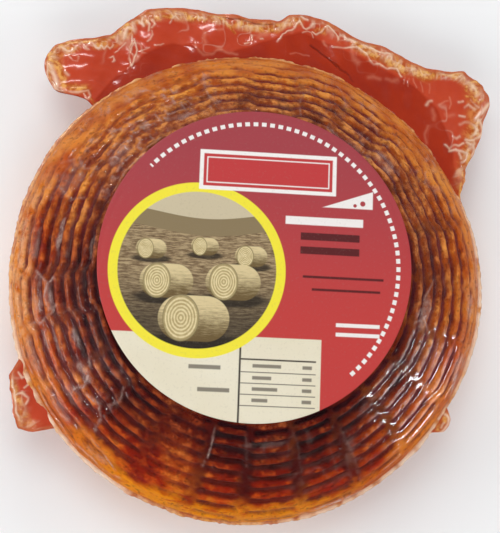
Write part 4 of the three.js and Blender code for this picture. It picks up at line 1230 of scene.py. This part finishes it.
# %% [markdown]
# ## The label's paper
# A paper disc lies on the film. It isn't quite flat: the first rings and the stakes under its
# edge press through as faint waves. So it is a thin disc of many rings, moved by the same marks.

# %% Label mesh
def label_disc():
    radii = np.r_[np.linspace(4, 54, 12), np.linspace(56, LABEL_RADIUS - 0.15, 22), LABEL_RADIUS]
    columns = 360
    rr, aa = np.meshgrid(radii, np.arange(columns) * 2 * np.pi / columns, indexing="ij")
    x, y = LABEL_CENTRE[0] + rr * np.cos(aa), LABEL_CENTRE[1] + rr * np.sin(aa)
    from_axis, turn = np.hypot(x, y), np.arctan2(y, x)
    s = from_axis - SECTION_FROM
    marks = basket_marks(s, turn, x, y, 0 * x + WHEEL_HEIGHT)
    press = 0.10 * marks["height"] * ease(from_axis, 58, 64) + 0.10 * wander(x, y, 0, 17, 71)
    dip = -0.05 * np.maximum(from_axis - 67.5, 0) ** 2
    top = WHEEL_HEIGHT + 0.42 + press + dip
    top[-1] -= 0.12
    low = top - 0.30
    low[-1] = top[-1] - 0.06
    n, m = rr.shape
    up, down = (np.stack([x, y, h], -1).reshape(-1, 3) for h in (top, low))
    poles = np.array([[*LABEL_CENTRE, top[0].mean()], [*LABEL_CENTRE, low[0].mean()]])
    i, j = np.meshgrid(np.arange(n - 1), np.arange(m), indexing="ij")
    right, half = (j + 1) % m, n * m
    a, b, c, d = i * m + j, (i + 1) * m + j, (i + 1) * m + right, i * m + right
    ring, turned = np.arange(m), (np.arange(m) + 1) % m
    quads = [(a, b, c, d), (half + a, half + d, half + c, half + b)]
    faces = [f for q in quads for f in np.stack(q, -1).reshape(-1, 4).tolist()]
    edge, low_edge = (n - 1) * m, half + (n - 1) * m
    faces += np.stack([edge + ring, low_edge + ring, low_edge + turned, edge + turned], -1).tolist()
    faces += np.stack([np.full(m, 2 * half), ring, turned], -1).tolist()
    faces += np.stack([np.full(m, 2 * half + 1), half + turned, half + ring], -1).tolist()
    return named_mesh("paper_label", np.r_[up, down, poles] * MM, faces, None, label_material())


paper_label = label_disc()
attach(paper_label, "root")
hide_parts("label")

# %% [markdown]
# ## Floor, light and camera
# The floor is plain and nearly white, so that only the pack has colour. Five wide lights from
# above and all round give an even glow. Mirrored in the film they would only veil it, so nothing
# mirrors them. Two narrow windows and two low strips, which give no glow, make the streaks. The
# strips light only the film over the wheel, because they would whiten the spare film. The
# camera looks almost straight down, a little from the front and the left.

# %% Floor
def stage_floor():
    size = 3.0
    corners = [(-size, -size, 0), (size, -size, 0), (size, size, 0), (-size, size, 0)]
    material, tree = new_material("pale_floor")
    shader = add(tree, "ShaderNodeBsdfPrincipled", {
        "Base Color": (0.94, 0.94, 0.94), "Roughness": 0.7})
    add(tree, "ShaderNodeOutputMaterial", {"Surface": shader.outputs["BSDF"]})
    floor = named_mesh("floor", corners, [(0, 1, 2, 3)], None, material)
    floor.location.z = -0.0002
    floor.visible_glossy = False


stage_floor()

# %% Lights
# name, degrees round the wheel, degrees up, metres away, size, power and what it does
LIGHTS = [
    ("overhead", 110, 65, 1.2, (0.8, 0.8), 3.8, "glow"),
    ("front", -95, 38, 1.2, (0.8, 0.6), 3.4, "glow"),
    ("back", 85, 25, 1.2, (0.8, 0.4), 3.4, "glow"),
    ("right_side", -12, 22, 1.2, (0.6, 0.4), 3.7, "glow"),
    ("left_side", 188, 22, 1.2, (0.6, 0.4), 4.7, "glow"),
    ("right_strip", -25, 4, 0.9, (0.46, 0.055), 4.4, "streak on the film"),
    ("left_strip", 208, 8, 0.9, (0.30, 0.045), 2.4, "streak on the film"),
    ("left_window", 188, 25, 0.9, (0.40, 0.08), 2.8, "streak"),
    ("back_window", 125, 33, 0.9, (0.34, 0.07), 3.0, "streak"),
]
on_film = bpy.data.collections.new("lit_by_strips")
on_film.objects.link(film)


def soft_light(name, degrees, height, away, size, power, use):
    """A rectangular light, aimed at a point a little above the middle of the base."""
    data = bpy.data.lights.new(name, "AREA")
    data.shape, data.size, data.size_y = "RECTANGLE", size[0], size[1]
    data.energy = power
    turn, up = math.radians(degrees), math.radians(height)
    level = math.cos(up)
    place = Vector((math.cos(turn) * level, math.sin(turn) * level, math.sin(up))) * away
    light = bpy.data.objects.new(name, data)
    light.location = place + Vector((0, 0, 0.04))
    light.rotation_euler = (-place).to_track_quat("-Z", "Y").to_euler()
    light.visible_camera = False
    light.visible_glossy = use != "glow"
    light.visible_diffuse = use == "glow"
    bpy.context.collection.objects.link(light)
    if use == "streak on the film":
        light.light_linking.receiver_collection = on_film


for light in LIGHTS:
    soft_light(*light)
print(len(LIGHTS), "lights")
world = bpy.data.worlds.new("plain_room")
world.use_nodes = True
room = world.node_tree.nodes["Background"].inputs
room["Color"].default_value = (0.95, 0.97, 1.0, 1.0)
room["Strength"].default_value = 0.36
bpy.context.scene.world = world
bpy.context.scene.view_settings.view_transform = "Standard"

# %% Camera
def place_camera():
    elevation, toward_left = math.radians(79.0), math.radians(32.0)
    aim = Vector((-0.23, 5.48, 40.0)) * MM
    away = 600 * MM
    pixels_per_mm, frame_height = 2.28, 533
    back = Vector((-math.sin(toward_left) * math.cos(elevation),
                   -math.cos(toward_left) * math.cos(elevation), math.sin(elevation)))
    right = (-back).cross(Vector((0, 1, 0))).normalized()
    up = right.cross(-back)
    data = bpy.data.cameras.new("camera")
    data.sensor_width = 36.0
    data.lens = away / MM * pixels_per_mm / frame_height * data.sensor_width
    camera = bpy.data.objects.new("camera", data)
    camera.matrix_world = Matrix((
        (right.x, up.x, back.x, aim.x + back.x * away),
        (right.y, up.y, back.y, aim.y + back.y * away),
        (right.z, up.z, back.z, aim.z + back.z * away),
        (0, 0, 0, 1)))
    bpy.context.collection.objects.link(camera)
    bpy.context.scene.camera = camera
    print("lens %.1f mm" % data.lens)


place_camera()
